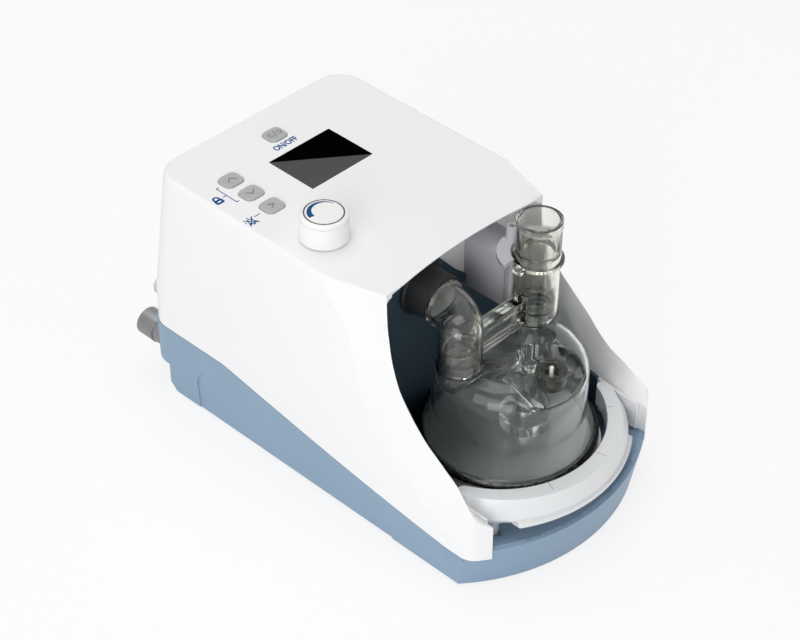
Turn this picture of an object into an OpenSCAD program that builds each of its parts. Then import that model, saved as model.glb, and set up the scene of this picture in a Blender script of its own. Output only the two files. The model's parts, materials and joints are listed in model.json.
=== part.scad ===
// Heated respiratory humidifier with flow generator: blue base, white cover,
// clear water chamber in an open bay, and a clear tube adapter above it.
// Millimetres, +Z up, front (chamber end) towards -Y.
// Origin: bottom centre of the whole part, on the surface that it stands on.

/* [Case] */
// Half of the body width at the base
half_w = 89; // [84:0.5:96]
// Front of the base, at the middle of its curved lip
front_y = -175.5; // [-190:0.5:-170]
// Rear wall of the case, at seam height
rear_y = 160; // [150:1:168]
// Rear edge of the control panel, at the top
panel_rear_y = 141.5; // [132:0.5:148]
// Radius of the curved front of the base
front_r = 138; // [120:0.5:160]
// Plan radius of the two front corners
front_corner_r = 14; // [6:1:20]
// Plan radius of the two rear corners
rear_corner_r = 20; // [10:1:26]
// Wall of the cover and of the base
wall = 2.6; // [2:0.1:3.4]
// Height of the control panel over the middle of the part
panel_z = 183; // [172:0.5:190]
// Slope of the control panel, down towards the front
panel_tilt = 1.27; // [0:0.05:3]
// Inward lean of each side wall, from the seam to the panel
side_lean = 2; // [0:0.5:4]
// Height of the rear seam between cover and base
seam_z = 56; // [48:1:60]
// Height of the seam at the front corners
seam_front_z = 26; // [22:1:28]
// Height of the rubber feet
foot_h = 1.5; // [1:0.25:3]

/* [Bay] */
// Back wall of the chamber bay
bay_back_y = -34.5; // [-42:0.5:-32]
// Front edge of the control panel, over the bay
panel_front_y = -57.5; // [-62:0.5:-54]
// Half width of the bay at the chamber
bay_half_w = 76.3; // [75:0.1:78]
// Half width of the bay at the panel
bay_top_half_w = 71.9; // [66:0.1:74]
// Height where the bay's side walls stop leaning inwards
bay_top_z = 160; // [150:1:176]
// Wall of the bay liner
liner_t = 2; // [1.6:0.1:2.6]
// Floor of the bay
bay_floor_z = 28; // [26:0.5:30]
// Height of the front lip
lip_z = 33; // [31:0.5:35]

/* [Chamber] */
// Chamber centre, front to back
chamber_y = -97; // [-99:0.5:-95]
// Radius of the chamber flange
flange_r = 59.5; // [56:0.5:60]
// Radius of the chamber dome
dome_r = 50.5; // [48:0.5:52]
// Height of the heater plate's top face
plate_z = 52; // [50:0.5:53]
// Height of the dome's flat top above the heater plate
dome_h = 68; // [62:1:74]
// Wall of the chamber
dome_t = 2; // [1.6:0.1:2.6]
// Half of the distance between the two chamber ports
port_x = 36; // [33:0.5:38]
// Position of the ports, front to back
port_y = -86; // [-90:0.5:-84]
// Outer radius of the chamber ports
port_r = 11.8; // [10:0.1:12.5]

/* [Adapter] */
// Wall of the clear adapter
adapter_t = 2.1; // [1.6:0.1:2.6]
// Running clearance of the adapter sockets over the ports
port_gap = 0.3; // [0.2:0.05:0.5]
// Bore radius of the breathing tube outlet
outlet_bore_r = 12.3; // [11:0.1:13]
// Depth of the breathing tube outlet
outlet_depth = 24; // [18:1:26]
// Top of the breathing tube outlet
outlet_top_z = 196; // [186:0.2:200]
// Plan radius of the air inlet bend
bend_r = 35; // [32:1:36]
// Plan angle of the air inlet bend
bend_angle = 53.13; // [48:0.5:58]

/* [Guard] */
// Centre of the finger guard's arc, front to back
guard_y = -87; // [-89:0.5:-85]
// Inner radius of the finger guard
guard_in_r = 72.5; // [71:0.5:74]
// Top of the finger guard at rest
guard_top_z = 59.5; // [57:0.5:61]
// Travel of the finger guard
guard_travel = 8; // [5:0.5:8]

/* [Controls] */
// Width and depth of the display window
window = [55, 41.2]; // [40:0.5:64]
// Position of the display window on the panel, front to back
window_y = 71.8; // [66:0.5:78]
// Width and depth of a key
key = [15, 13.2]; // [11:0.1:17]
// Gap around a key
key_gap = 0.35; // [0.25:0.05:0.6]
// Height of a key above the panel
key_rise = 1.4; // [1:0.1:2.5]
// Travel of a key
key_travel = 0.8; // [0.4:0.1:1]
// Distance between neighbouring keys
key_pitch = 19.3; // [17:0.1:22]
// Radius of the oxygen knob
knob_r = 16.3; // [13:0.1:18]
// Height of the oxygen knob
knob_h = 18.2; // [14:0.2:22]
// Position of the oxygen knob on the panel
knob_at = [-57.2, 10.7]; // [-60:0.5:20]
// Radius of the knob's valve stem
stem_r = 3; // [2:0.1:4]

/* [Air path] */
// Height of the air path's centre line
air_z = 148; // [146:0.5:150]
// Position of the blower outlet, side to side
air_x = -20; // [-22:0.5:-18]
// Inner radius of the air ducts
duct_bore_r = 11.5; // [10:0.1:12]
// Wall of the ducts
duct_t = 2; // [1.6:0.1:2.4]
// Centre of the blower
blower_at = [8, 42]; // [0:1:60]
// Radius of the impeller
impeller_r = 24; // [20:1:26]
// Radius of the motor shaft
shaft_r = 2; // [1.5:0.1:2.5]

/* [Oxygen and rear] */
// Radius of the oxygen inlet's neck, where it passes through the base
oxygen_neck_r = 9.5; // [7.5:0.1:10]
// Position of the oxygen inlet: side to side, height
oxygen_at = [-75.5, 34]; // [-76:0.5:40]
// Radius of the oxygen inlet
oxygen_r = 10.3; // [8:0.1:10.5]
// Position of the mains inlet: side to side, height
mains_at = [44, 41]; // [30:1:60]
// Width and height of the filter cover
filter_size = [64, 44]; // [40:1:74]
// Height of the filter cover's centre
filter_z = 108; // [100:1:116]

/* [Hidden] */
$fn = 64;
eps = 0.01;
gap = 0.3;            // clearance between parts that only sit together
run = 0.05;           // radial running fit of shafts and stems
front_cy = front_y + front_r;
front_lean = 5.5;     // how far the lip stands out over the foot of the base
ledge_r = front_r - 28;   // plan radius at the foot of the ledge
fillet_x = half_w - front_corner_r;
fillet_y = front_cy - sqrt(pow(front_r - front_corner_r, 2) - pow(fillet_x, 2));
base_z = foot_h;
floor_t = 2.6;
floor_z = base_z + floor_t;
under_z = 23;         // underside of the rear overhang
rear_lean = 9.7;       // lean of the cover's rear wall
filter_up = 3;        // foot of the filter cover, along the rear wall
under_y = 138;        // rear wall of the base below the overhang
far = 400;
oxygen_seat_y = rear_y - 14;
sensor_at = [-71, rear_y - 3, 72];
panel_arc_r = 405;    // plan radius of the panel's front edge
seam_flat_y = 80;     // where the rear seam starts to fall
seam_low_y = -124;    // where it reaches the front height
window_t = 1.6;
module_t = 7;
board_z = -13.5;      // top of the control board, below the panel face
board_t = 1.6;
key_x = -58.8;
up_y = 94.8;
power_at = [-3.5, 112.1];
row_keys = [for (i = [0:2]) [key_x, up_y - i * key_pitch]];
key_r = 4.2;
flange_t = 1.6;
skirt_h = 23;         // flange to straight wall
dome_edge_r = 17;
dome_top = plate_z + dome_h;
pocket_y = chamber_y - 30;
pocket_r = 24.2;
fill_at = [2.5, pocket_y - 1.5];
pocket_d = 11;
guide_at = [9, chamber_y - 7];
guide_r = 5.3;
socket_r = port_r + port_gap;
adapter_r = socket_r + adapter_t;
adapter_z = dome_top + gap;    // underside of the two sockets
mouth_x = -port_x + bend_r * (1 - cos(bend_angle));
mouth_y = port_y + bend_r * sin(bend_angle);
cuff_r = adapter_r + 2.3;
cuff_end_y = bay_back_y + 5;
pedestal_r = 61.4;
plate_r = 57;
plate_t = 6;
tray_z = 62;
tray_t = 1.2;
tray_y = [bay_back_y + 8, 150];
volute_h = 26;
volute_r = 37;
volute_z = air_z - volute_h / 2;
motor_r = 19;
lid_rise = 1.8;
motor_h = 28;
post_xy = [[half_w - 9, 128], [half_w - 9, 20]];
arm_post = [half_w - 6.4, -118];
post_r = 4.4;
screw_r = 1.6;
guard_leg_x = 60;
guard_leg_y = -138;
guard_leg_r = 4;
guard_clear_x = bay_half_w - gap - liner_t - 0.5;
guard_half = 63;      // half of the plan angle that the guard spans
spring_r = 3;

// ---------- shared outlines ----------

// Height of the seam between cover and base at a front-to-back position
function seam(y) = y > seam_flat_y ? seam_z
    : y < seam_low_y ? seam_front_z
    : seam_front_z + (seam_z - seam_front_z) * (1 - cos(90 * (y - seam_low_y) / (seam_flat_y - seam_low_y)))
      * 0.35 + (seam_z - seam_front_z) * 0.65 * (y - seam_low_y) / (seam_flat_y - seam_low_y);

// Points of a smooth curve through control points p[i], n steps a span (Catmull-Rom)
function curve(p, n = 4) = [for (i = [0:len(p) - 2]) for (k = [0:n - 1])
    let (t = k / n, a = p[max(i - 1, 0)], b = p[i], c = p[i + 1], d = p[min(i + 2, len(p) - 1)])
    0.5 * (2 * b + (c - a) * t + (2 * a - 5 * b + 4 * c - d) * t * t
        + (3 * b - a - 3 * c + d) * t * t * t)];

// Edges of the left and right arms, from above the panel to the tips. Each row holds the
// outer crease [y, z] on the side wall, then the ridge over the bay [x, y, z]
arm_rows = [[[7, 194], [72.2, -57.5, 194]], [[-4, 183.5], [72.2, -58, 182.5]],
    [[-17, 173.5], [72.2, -58, 173]], [[-30, 162], [72.3, -58.5, 161]], [[-38, 149], [73, -60.5, 149]],
    [[-42, 134], [75.5, -65.5, 136]], [[-46, 119], [78, -73, 122.5]], [[-51, 104.5], [80.5, -84.5, 109]],
    [[-60, 90], [81, -96, 98]], [[-72, 79], [80.5, -106.5, 88.5]], [[-86, 68], [80.5, -116, 81.5]],
    [[-100, 58], [81.5, -125.5, 76]], [[-112, 50], [83, -134, 69.5]], [[-123, 42.5], [84.5, -141.5, 64]],
    [[-136, 36], [85.5, -149, 57]], [[-158, 29], [87, -168, 44]]];
// Inner faces of the arms: rows of a low point [x, y, z] and the ridge above it [x, y, z]
flare_rows = [[[74.6, -60.5, 120], [72.9, -61.5, 148]],
    [[75.7, -78, 92], [79.2, -79, 115]], [[76.2, -94, 72], [81, -96, 98]],
    [[76.2, -108, 60], [80.5, -111, 85]], [[76.2, -120, 57], [81.5, -125.5, 76]],
    [[76.2, -131, 55.5], [83, -134, 69.5]], [[76.2, -142, 54.5], [84.5, -141.5, 64]],
    [[76.2, -160, 53], [86, -156, 55]]];

module front_plan(inset = 0) {
    r = front_r - inset;
    c = front_corner_r - inset;
    dir = [fillet_x, fillet_y - front_cy] / norm([fillet_x, fillet_y - front_cy]);
    intersection() {
        translate([0, front_cy]) circle(r, $fn = 180);
        polygon([[0, front_cy], [-dir.x * 300, front_cy + dir.y * 300], [0, -far],
            [dir.x * 300, front_cy + dir.y * 300]]);
    }
    for (s = [-1, 1]) translate([s * fillet_x, fillet_y]) circle(c);
}

module rear_plan(inset = 0, end = rear_y) {
    r = max(rear_corner_r - inset, 1);
    hull() {
        for (s = [-1, 1]) translate([s * (half_w - inset - r), end - inset - r]) circle(r, $fn = 48);
        translate([-half_w + inset, -1]) square([2 * (half_w - inset), 1]);
    }
}

module base_plan(inset = 0) {
    front_plan(inset);
    translate([-half_w + inset, fillet_y]) square([2 * (half_w - inset), -fillet_y]);
    rear_plan(inset);
}

// Extrude a [y, z] outline across the full width
module across(width = 2 * far) {
    rotate([90, 0, 90]) translate([0, 0, -width / 2]) linear_extrude(width) children();
}

// Extrude an [x, z] outline along Y, between two positions
module along(y0, y1) {
    translate([0, y1, 0]) rotate([90, 0, 0]) linear_extrude(y1 - y0) children();
}

module seam_line(down = 0, up = 0) {
    steps = [for (y = [200:-8:-200]) y];
    polygon(concat([for (y = steps) [y, seam(y) + up]], [[-200, -10 - down], [200, -10 - down]]));
}

// Section of the bay: open at the front, narrower at the panel
module bay_section(grow = 0, bottom = bay_floor_z) {
    polygon([[-bay_half_w - grow, bottom], [bay_half_w + grow, bottom], [bay_half_w + grow, 92],
        [bay_top_half_w + grow, bay_top_z], [bay_top_half_w + grow, far],
        [-bay_top_half_w - grow, far], [-bay_top_half_w - grow, bay_top_z],
        [-bay_half_w - grow, 92]]);
}

module bay_space(grow = 0, bottom = bay_floor_z) {
    intersection() {
        along(-far, bay_back_y + grow) bay_section(grow, bottom);
        translate([0, 0, -10]) linear_extrude(far) {
            translate([-far, -far - 60]) square([2 * far, far]);
            hull() for (s = [-1, 1]) {
                translate([s * (bay_half_w + grow - 12), bay_back_y + grow - 12]) circle(12, $fn = 48);
                translate([s * (bay_half_w + grow - 12), -90]) circle(12, $fn = 48);
            }
        }
    }
}

module on_panel(at = [0, 0], h = 0) {
    translate([0, 0, panel_z]) rotate([panel_tilt, 0, 0]) translate([at.x, at.y, h]) children();
}

module round_box(size, r, h) {
    linear_extrude(h) hull() for (sx = [-1, 1], sy = [-1, 1])
        translate([sx * (size.x / 2 - r), sy * (size.y / 2 - r)]) circle(r, $fn = 32);
}

module ring(r_out, r_in, h) {
    difference() {
        cylinder(r = r_out, h = h);
        translate([0, 0, -1]) cylinder(r = r_in, h = h + 2);
    }
}

module pipe_y(r_out, r_in, length) {
    rotate([-90, 0, 0]) ring(r_out, r_in, length);
}

// ---------- case ----------

module cover_plate(inset, lean, end) {
    r = max(rear_corner_r - inset, 1);
    translate([-half_w + lean + inset, -190]) square([2 * (half_w - lean - inset), 1]);
    for (s = [-1, 1])
        translate([s * (half_w - lean - inset - r), end - inset - r]) circle(r, $fn = 28);
}

module cover_block(inset = 0) {
    hull() {
        on_panel(h = -0.1 - inset) linear_extrude(0.1) cover_plate(inset + 3, side_lean, panel_rear_y);
        on_panel(h = -4 - inset) linear_extrude(0.1) cover_plate(inset, side_lean, panel_rear_y);
        translate([0, 0, 85]) linear_extrude(0.1) cover_plate(inset, side_lean / 3, rear_y - 2);
        translate([0, 0, 0]) linear_extrude(0.1) cover_plate(inset, 0, rear_y);
    }
}

// Solid swept by a grid of points (rows of equal length) along a straight way
module swept_sheet(grid, way) {
    rows = len(grid);
    cols = len(grid[0]);
    n = rows * cols;
    points = concat([for (r = grid) for (p = r) p], [for (r = grid) for (p = r) p + way]);
    quads = [for (i = [0:rows - 2]) for (j = [0:cols - 2]) [i * cols + j, i * cols + j + 1,
        (i + 1) * cols + j + 1, (i + 1) * cols + j]];
    rim = concat([for (j = [0:cols - 1]) j], [for (i = [1:rows - 1]) i * cols + cols - 1],
        [for (j = [cols - 2:-1:0]) (rows - 1) * cols + j], [for (i = [rows - 2:-1:1]) i * cols]);
    faces = concat([for (q = quads) for (f = [[q[0], q[1], q[2]], [q[0], q[2], q[3]]]) f],
        [for (q = quads) for (f = [[q[2], q[1], q[0]], [q[3], q[2], q[0]]]) [for (k = f) k + n]],
        [for (k = [0:len(rim) - 1]) let (a = rim[k], b = rim[(k + 1) % len(rim)])
            for (f = [[b, a, a + n], [b, a + n, b + n]]) f]);
    polyhedron(points, faces);
}

function mix(a, b, t) = a + (b - a) * t;

// Material cut away above the sloping top of one arm
module arm_cut(inset = 0) {
    swept_sheet([for (r = arm_rows) let (o = [half_w, r[0].x + 0.7 * inset, r[0].y - 0.7 * inset],
        i = [r[1].x - inset, r[1].y + 0.7 * inset, r[1].z - 0.7 * inset])
        [mix(o, i, -0.8), o, mix(o, i, 0.35), mix(o, i, 0.7), i, mix(o, i, 1.6)]], [0, -300, 300]);
}

// Material cut away from the inner face of one arm, over the bay
module flare_cut(inset = 0) {
    swept_sheet([for (r = flare_rows) let (a = r[0] + [inset, 0, 0], b = r[1] + [inset, 0, 0])
        [mix(a, b, 1.8), b, mix(a, b, 0.5), a]], [-30, 0, 6]);
}

module cover_solid(inset = 0) {
    difference() {
        intersection() {
            cover_block(inset);
            translate([0, 0, -1]) linear_extrude(far) {
                front_plan(inset, $fn = 32);
                translate([-half_w - 5, fillet_y]) square([2 * half_w + 10, far]);
            }
            across() polygon(concat([for (r = arm_rows) [r[1].y + inset, r[1].z - inset]],
                [[-200, 40], [-200, -1], [200, -1], [200, far], [panel_front_y + inset, far]]));
        }
        for (s = [0, 1]) mirror([s, 0, 0]) {
            arm_cut(inset);
            flare_cut(inset);
        }
        translate([0, panel_front_y + 4 + inset - panel_arc_r, 166]) cylinder(r = panel_arc_r, h = 60, $fn = 180);
    }
}

module cover_posts() {
    for (s = [-1, 1], p = post_xy) {
        translate([s * p.x, p.y, seam_z]) cylinder(r = post_r, h = 34);
        translate([s * p.x - (s > 0 ? 0 : 8), p.y - 1.2, seam_z]) cube([8, 2.4, 34]);
    }
    for (s = [-1, 1])
        translate([s * arm_post.x, arm_post.y, seam_front_z + 4]) cylinder(r = 3.2, h = 16);
}

module post_bores(r) {
    for (s = [-1, 1], p = concat(post_xy, [arm_post]))
        translate([s * p.x, p.y, base_z - 1]) cylinder(r = r, h = seam(p.y) + 12);
}

module window_hole(grow, depth) {
    on_panel([0, window_y], -depth)
        translate([-window.x / 2 - grow, -window.y / 2 - grow, 0])
            cube([window.x + 2 * grow, window.y + 2 * grow, depth + 2]);
}

module key_holes(grow = key_gap) {
    for (p = concat([power_at], row_keys))
        on_panel(p, -6) round_box(key + 2 * [grow, grow], key_r + grow, 8);
}

// Frame whose XZ plane is the sloping rear wall of the cover; z is measured along the wall
module on_rear(at = [0, 0, 0]) {
    translate([0, rear_y - 2, 85]) rotate([rear_lean, 0, 0]) translate(at) children();
}

module filter_box(grow, y0, y1) {
    on_rear([-filter_size.x / 2 - grow, y0, filter_up - grow])
        cube([filter_size.x + 2 * grow, y1 - y0, filter_size.y + 2 * grow]);
}

module top_cover() {
    $fn = 28;
    color("white") difference() {
        cover_solid();
        // Hollow behind the walls, the screw posts and the filter's frame
        difference() {
            cover_solid(wall);
            translate([-far / 2, -far - 60, 0]) cube([far, far, far]);
            bay_space(grow = 2.2);
            cover_posts();
            filter_box(2.4, -14, 6);
        }
        difference() {
            bay_space(bottom = 0);
            translate([-far / 2, panel_front_y, panel_z - 5.5]) cube([far, far, far]);
        }
        across() seam_line(up = gap / 2);
        window_hole(0.15, 12);
        key_holes();
        on_panel(knob_at, -12) cylinder(r = 5.1, h = 20);
        filter_box(gap, -30, 10);
        filter_pin(0);
        translate([air_x, bay_back_y - 5, air_z]) pipe_y(cuff_r + gap, 0, 20);
        post_bores(1.3);
        translate([sensor_at.x, sensor_at.y - 10, sensor_at.z]) pipe_y(6.2, 0, 40);
        translate(sensor_at) pipe_y(7.9, 0, 20);
        tower_seat();
    }
}

module side_recess(depth = 0.8) {
    outline = concat([[107, -5], [109, 24]], curve([[109, 24], [103, 35.5], [89, 39.5], [60, 39], [32, 36.5],
        [-4, 30.5], [-39, 22], [-70, 10.5], [-83, -5]], 3));
    for (s = [-1, 1]) translate([s * (half_w - depth / 2), 0, 0]) across(depth + eps) polygon(outline);
}

module base_blank(inset = 0, bottom = base_z) {
    intersection() {
        translate([0, 0, bottom]) linear_extrude(far) base_plan(inset);
        // The front leans out towards the lip
        translate([0, front_cy, 0]) {
            cylinder(r1 = front_r - front_lean - inset, r2 = front_r - inset, h = lip_z, $fn = 180);
            translate([0, 0, lip_z - eps]) cylinder(r = front_r - inset, h = 60, $fn = 180);
            translate([-far / 2, -50, 0]) cube([far, far, 90]);
        }
        across() polygon([[-200, bottom], [under_y - inset - 6, bottom], [under_y - inset, bottom + 6],
            [under_y - inset, under_z + inset], [200, under_z + inset], [200, 120], [-200, 120]]);
    }
}

// Space over the sloping ledge, which falls from the lip to the bay floor
module ledge_space() {
    translate([0, front_cy, 0]) rotate_extrude($fn = 180) polygon([[0, bay_floor_z - 1],
        [ledge_r, bay_floor_z - 1], [front_r - 5, lip_z - 1], [front_r - 4, lip_z], [front_r - 4, 90], [0, 90]]);
}

module base_case() {
    color([0.53, 0.63, 0.72]) difference() {
        union() {
            difference() {
                base_blank();
                base_blank(wall, floor_z);
            }
            // Deck that carries the ledge and the lip
            intersection() {
                base_blank(0.2);
                translate([0, 0, bay_floor_z - 5]) difference() {
                    translate([-far / 2, -far, 0]) cube([far, far - 104, 14]);
                    translate([0, chamber_y, -1]) cylinder(r = pedestal_r + gap, h = 20);
                }
            }
            base_posts();
            guard_wells();
        }
        difference() {
            across() polygon(concat([for (y = [200:-8:-200]) [y, seam(y) - gap / 2]], [[-200, 200], [200, 200]]));
            // The lip stands higher than the seam between the arms
            translate([-bay_half_w + gap, front_y - 1, 0]) cube([2 * (bay_half_w - gap), 60, lip_z]);
        }
        intersection() {
            ledge_space();
            translate([-bay_half_w + gap, -far, 0]) cube([2 * (bay_half_w - gap), far, far]);
        }
        intersection() {
            translate([0, front_cy, bay_floor_z - 2]) cylinder(r = ledge_r + gap, h = 60, $fn = 180);
            translate([-bay_half_w + gap, -far, 0]) cube([2 * (bay_half_w - gap), far - 60, 60]);
        }
        side_recess();
        translate([oxygen_at.x, oxygen_seat_y, oxygen_at.y]) pipe_y(oxygen_neck_r, 0, 60);
        translate([mains_at.x - 14.2, rear_y - 20, mains_at.y - 10.2]) cube([28.4, 40, 20.4]);
        post_bores(1.8);
        for (s = [-1, 1], p = concat(post_xy, [arm_post]))
            translate([s * p.x, p.y, base_z - 1]) cylinder(r = 3.6, h = 5);
        for (s = [-1, 1]) translate([s * guard_leg_x, guard_leg_y, floor_z + 1.5])
            cylinder(r = guard_leg_r + gap, h = 60);
        foot_seats(gap = 0);
    }
}

module base_posts() {
    intersection() {
        base_blank(0.2);
        for (s = [-1, 1], p = concat(post_xy, [arm_post]))
            translate([s * p.x, p.y, base_z]) cylinder(r = post_r + 0.6, h = seam(p.y) - base_z);
    }
}

module guard_wells() {
    for (s = [-1, 1]) translate([s * guard_leg_x, guard_leg_y, base_z])
        cylinder(r = guard_leg_r + 2.2, h = bay_floor_z - 3 - base_z);
}

foot_xy = [[66, 118], [66, -112]];

module foot_seats(gap = 0) {
    for (s = [-1, 1], p = foot_xy) translate([s * p.x, p.y, base_z - 1]) cylinder(r = 8 + gap, h = 2);
}

module rubber_feet() {
    color([0.12, 0.12, 0.13]) for (s = [-1, 1], p = foot_xy)
        translate([s * p.x, p.y, 0]) {
            cylinder(r1 = 6.6, r2 = 7.4, h = base_z);
            translate([0, 0, base_z]) cylinder(r = 7.9, h = 1);
        }
}

module case_screws() {
    color("silver") for (s = [-1, 1], p = concat(post_xy, [arm_post]))
        translate([s * p.x, p.y, base_z + 1]) {
            cylinder(r = 3.2, h = 2);
            cylinder(r = 1.25, h = seam(p.y) + 7 - base_z);
        }
}

// ---------- bay liner, heater and chamber ----------

// Outline of the blue liner: low side walls, and a back wall that rises to the left
module liner_top() {
    across() polygon([[-160, 20], [bay_back_y + 8, 20], [bay_back_y + 8, far], [bay_back_y - 4, far],
        [bay_back_y - 4, 93], [-58, 79], [-80, 67.5], [-100, 60], [-112, 57], [-135, 55], [-160, 55]]);
}

module back_wall_top() {
    along(bay_back_y - 5, bay_back_y + 8) polygon([[-far, 20], [far, 20], [far, 93], [bay_half_w, 93],
        [62, 103], [39, 120], [14, 142.5], [-4, 163], [-12, 173], [-12, far], [-far, far]]);
    translate([-far, -far, 0]) cube([2 * far, far + bay_back_y - 4, far]);
}

module bay_liner() {
    color([0.17, 0.27, 0.35]) difference() {
        union() {
            difference() {
                intersection() {
                    bay_space(grow = -gap, bottom = bay_floor_z - 2);
                    liner_top();
                    back_wall_top();
                    union() {
                        translate([-far, -112, 0]) cube([2 * far, far, panel_z - 5.7]);
                        translate([-far, -146, lip_z + gap]) cube([2 * far, far, 60]);
                    }
                }
                bay_space(grow = -gap - liner_t, bottom = bay_floor_z);
            }
            // Floor under the guard, inside the ledge
            intersection() {
                translate([-bay_half_w + 2 * gap, -158, bay_floor_z - 2])
                    cube([2 * (bay_half_w - 2 * gap), 158 + bay_back_y - 2, 2]);
                translate([0, front_cy, 0]) cylinder(r = ledge_r, h = 60, $fn = 180);
            }
            translate([0, chamber_y, bay_floor_z - 2]) cylinder(r = pedestal_r, h = plate_z - 6 - bay_floor_z + 2);
        }
        translate([0, chamber_y, bay_floor_z - 3]) cylinder(r = plate_r + 2, h = 30);
        translate([air_x, bay_back_y - 5, air_z]) pipe_y(cuff_r + gap, 0, 20);
        tower_seat(gap);
    }
}

module heater_plate() {
    color([0.75, 0.76, 0.78]) translate([0, chamber_y, plate_z - plate_t]) {
        cylinder(r = plate_r, h = plate_t);
        translate([0, 0, -2]) cylinder(r = plate_r + 1.7, h = 2);
    }
}

module heater_element() {
    color([0.45, 0.3, 0.2]) translate([0, chamber_y, plate_z - plate_t - 5]) ring(48, 20, 3);
}

module heater_carrier() {
    color([0.85, 0.82, 0.74]) translate([0, chamber_y, 0]) {
        difference() {
            translate([0, 0, 32]) cylinder(r = plate_r + 1.7, h = plate_z - plate_t - 2 - 32);
            translate([0, 0, 35]) cylinder(r = plate_r - 1, h = 30);
        }
        for (a = [45:90:315]) rotate(a) translate([40, 0, floor_z]) cylinder(r = 4, h = 32 - floor_z);
        for (a = [0:60:300]) rotate(a) translate([34, 0, 35]) cylinder(r = 3, h = plate_z - plate_t - 5 - 35);
    }
}

module thermal_cutout() {
    color([0.2, 0.2, 0.2]) translate([0, chamber_y, 35]) {
        cylinder(r = 8, h = plate_z - plate_t - 2 - 35);
        translate([-12, -2, 0]) cube([24, 4, 3]);
    }
}

// Half section of the chamber dome, inset from the outside
module dome_half(inset = 0) {
    r = dome_r - inset;
    e = dome_edge_r - inset;
    foot = plate_z + flange_t - 4 * inset;
    wall_z = plate_z + flange_t + skirt_h;
    top = dome_top - inset;
    difference() {
        polygon([[0, foot], [flange_r - 2 - inset, foot], [flange_r - 2 - inset, plate_z + flange_t + 2],
            [r + 3.2, plate_z + flange_t + skirt_h * 0.5], [r + 0.8, plate_z + flange_t + skirt_h * 0.82],
            [r, wall_z], [r, top], [0, top]]);
        translate([r - e, top - e]) difference() {
            square(e + 1);
            circle(e);
        }
    }
}

module dome_solid(inset = 0) {
    translate([0, chamber_y, 0]) rotate_extrude($fn = 128) dome_half(inset);
}

module chamber_dome() {
    color([0.55, 0.58, 0.58, 0.5]) difference() {
        union() {
            difference() {
                union() {
                    dome_solid();
                    translate([0, chamber_y, plate_z + 0.6]) cylinder(r = flange_r, h = flange_t + 1.4);
                    for (s = [-1, 1]) translate([s * port_x, port_y, dome_top - 10]) cylinder(r = port_r + 3, h = 10 + gap);
                    for (s = [-1, 1]) translate([s * port_x, port_y, dome_top - 10]) cylinder(r = port_r, h = 26);
                }
                difference() {
                    dome_solid(dome_t);
                    translate([0, pocket_y, dome_top - pocket_d - dome_t]) cylinder(r = pocket_r + dome_t, h = 60);
                }
                translate([0, chamber_y, plate_z - 1]) cylinder(r = flange_r - 4.4, h = 3.6);
            }
            // Guide tube of the float
            translate([guide_at.x, guide_at.y, plate_z + 5])
                ring(guide_r, guide_r - 1.2, dome_top - dome_t - plate_z - 5 + eps);
        }
        translate([0, pocket_y, dome_top - pocket_d]) cylinder(r = pocket_r, h = 60);
        for (s = [-1, 1]) translate([s * port_x, port_y, dome_top - 20]) cylinder(r = port_r - 2, h = 60);
        translate([fill_at.x, fill_at.y, dome_top - pocket_d - 10]) cylinder(r = 8, h = 20);
    }
}

module chamber_plate() {
    color([0.8, 0.81, 0.82]) translate([0, chamber_y, plate_z]) {
        cylinder(r = flange_r, h = 0.6);
        cylinder(r = flange_r - 6.4, h = 1.4);
    }
}

module chamber_seal() {
    color([0.15, 0.15, 0.15]) translate([0, chamber_y, plate_z + 0.6]) ring(flange_r - 4.6, flange_r - 6.3, 1.9);
}

module chamber_float() {
    color([0.9, 0.9, 0.85]) translate([guide_at.x, guide_at.y, plate_z + 6]) ring(17, guide_r + 0.4, 9);
}

module fill_port() {
    color([0.2, 0.21, 0.21]) translate([fill_at.x, fill_at.y, dome_top - pocket_d]) {
        ring(10.3, 6.8, 9.5);
        translate([0, 0, -dome_t - 2]) ring(7.9, 6.8, dome_t + 2 + eps);
        translate([-7, -1, -dome_t - 2]) cube([14, 2, 2]);
    }
}

module fill_pin() {
    color("white") translate([fill_at.x, fill_at.y, dome_top - pocket_d - dome_t]) {
        cylinder(r = 1.3, h = 14);
        cylinder(r = 2.2, h = 1.5);
    }
}

// ---------- clear adapter over the chamber ----------

module bend(r, from = 0, to = bend_angle) {
    translate([mouth_x - bend_r, mouth_y, air_z]) rotate([0, 0, -to])
        rotate_extrude(angle = to - from, $fn = 96) translate([bend_r, 0]) circle(r, $fn = 48);
}

module adapter_outer() {
    z0 = adapter_z;
    translate([-port_x, port_y, z0]) cylinder(r = adapter_r, h = air_z - z0);
    translate([-port_x, port_y, air_z]) sphere(r = adapter_r);
    translate([-port_x, port_y, z0]) cylinder(r = adapter_r + 1.2, h = 3);
    bend(adapter_r - 0.1);
    translate([mouth_x, mouth_y - 3, air_z]) rotate([-90, 0, 0]) cylinder(r = adapter_r + 1.8, h = 3);
    translate([port_x, port_y, z0]) cylinder(r = adapter_r, h = 44);
    translate([port_x, port_y, z0]) cylinder(r = adapter_r + 1, h = 4);
    translate([port_x, port_y, 165]) cylinder(r = adapter_r + 2.6, h = 2);
    translate([port_x - adapter_r - 7, port_y - 3, 164]) cube([8, 6, 3]);
    translate([port_x, port_y, 163]) cylinder(r = outlet_bore_r + adapter_t + 0.1, h = outlet_top_z - 163);
    translate([port_x, port_y, outlet_top_z - 4.5]) cylinder(r = outlet_bore_r + adapter_t + 0.6, h = 4.5);
    // Ribbed bar between the two sockets
    translate([-port_x, port_y - 3.5, 123]) cube([2 * port_x, 7, 20]);
    for (z = [123, 132, 141]) translate([-port_x, port_y - 4.6, z]) cube([2 * port_x, 9.2, 2]);
}

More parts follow.
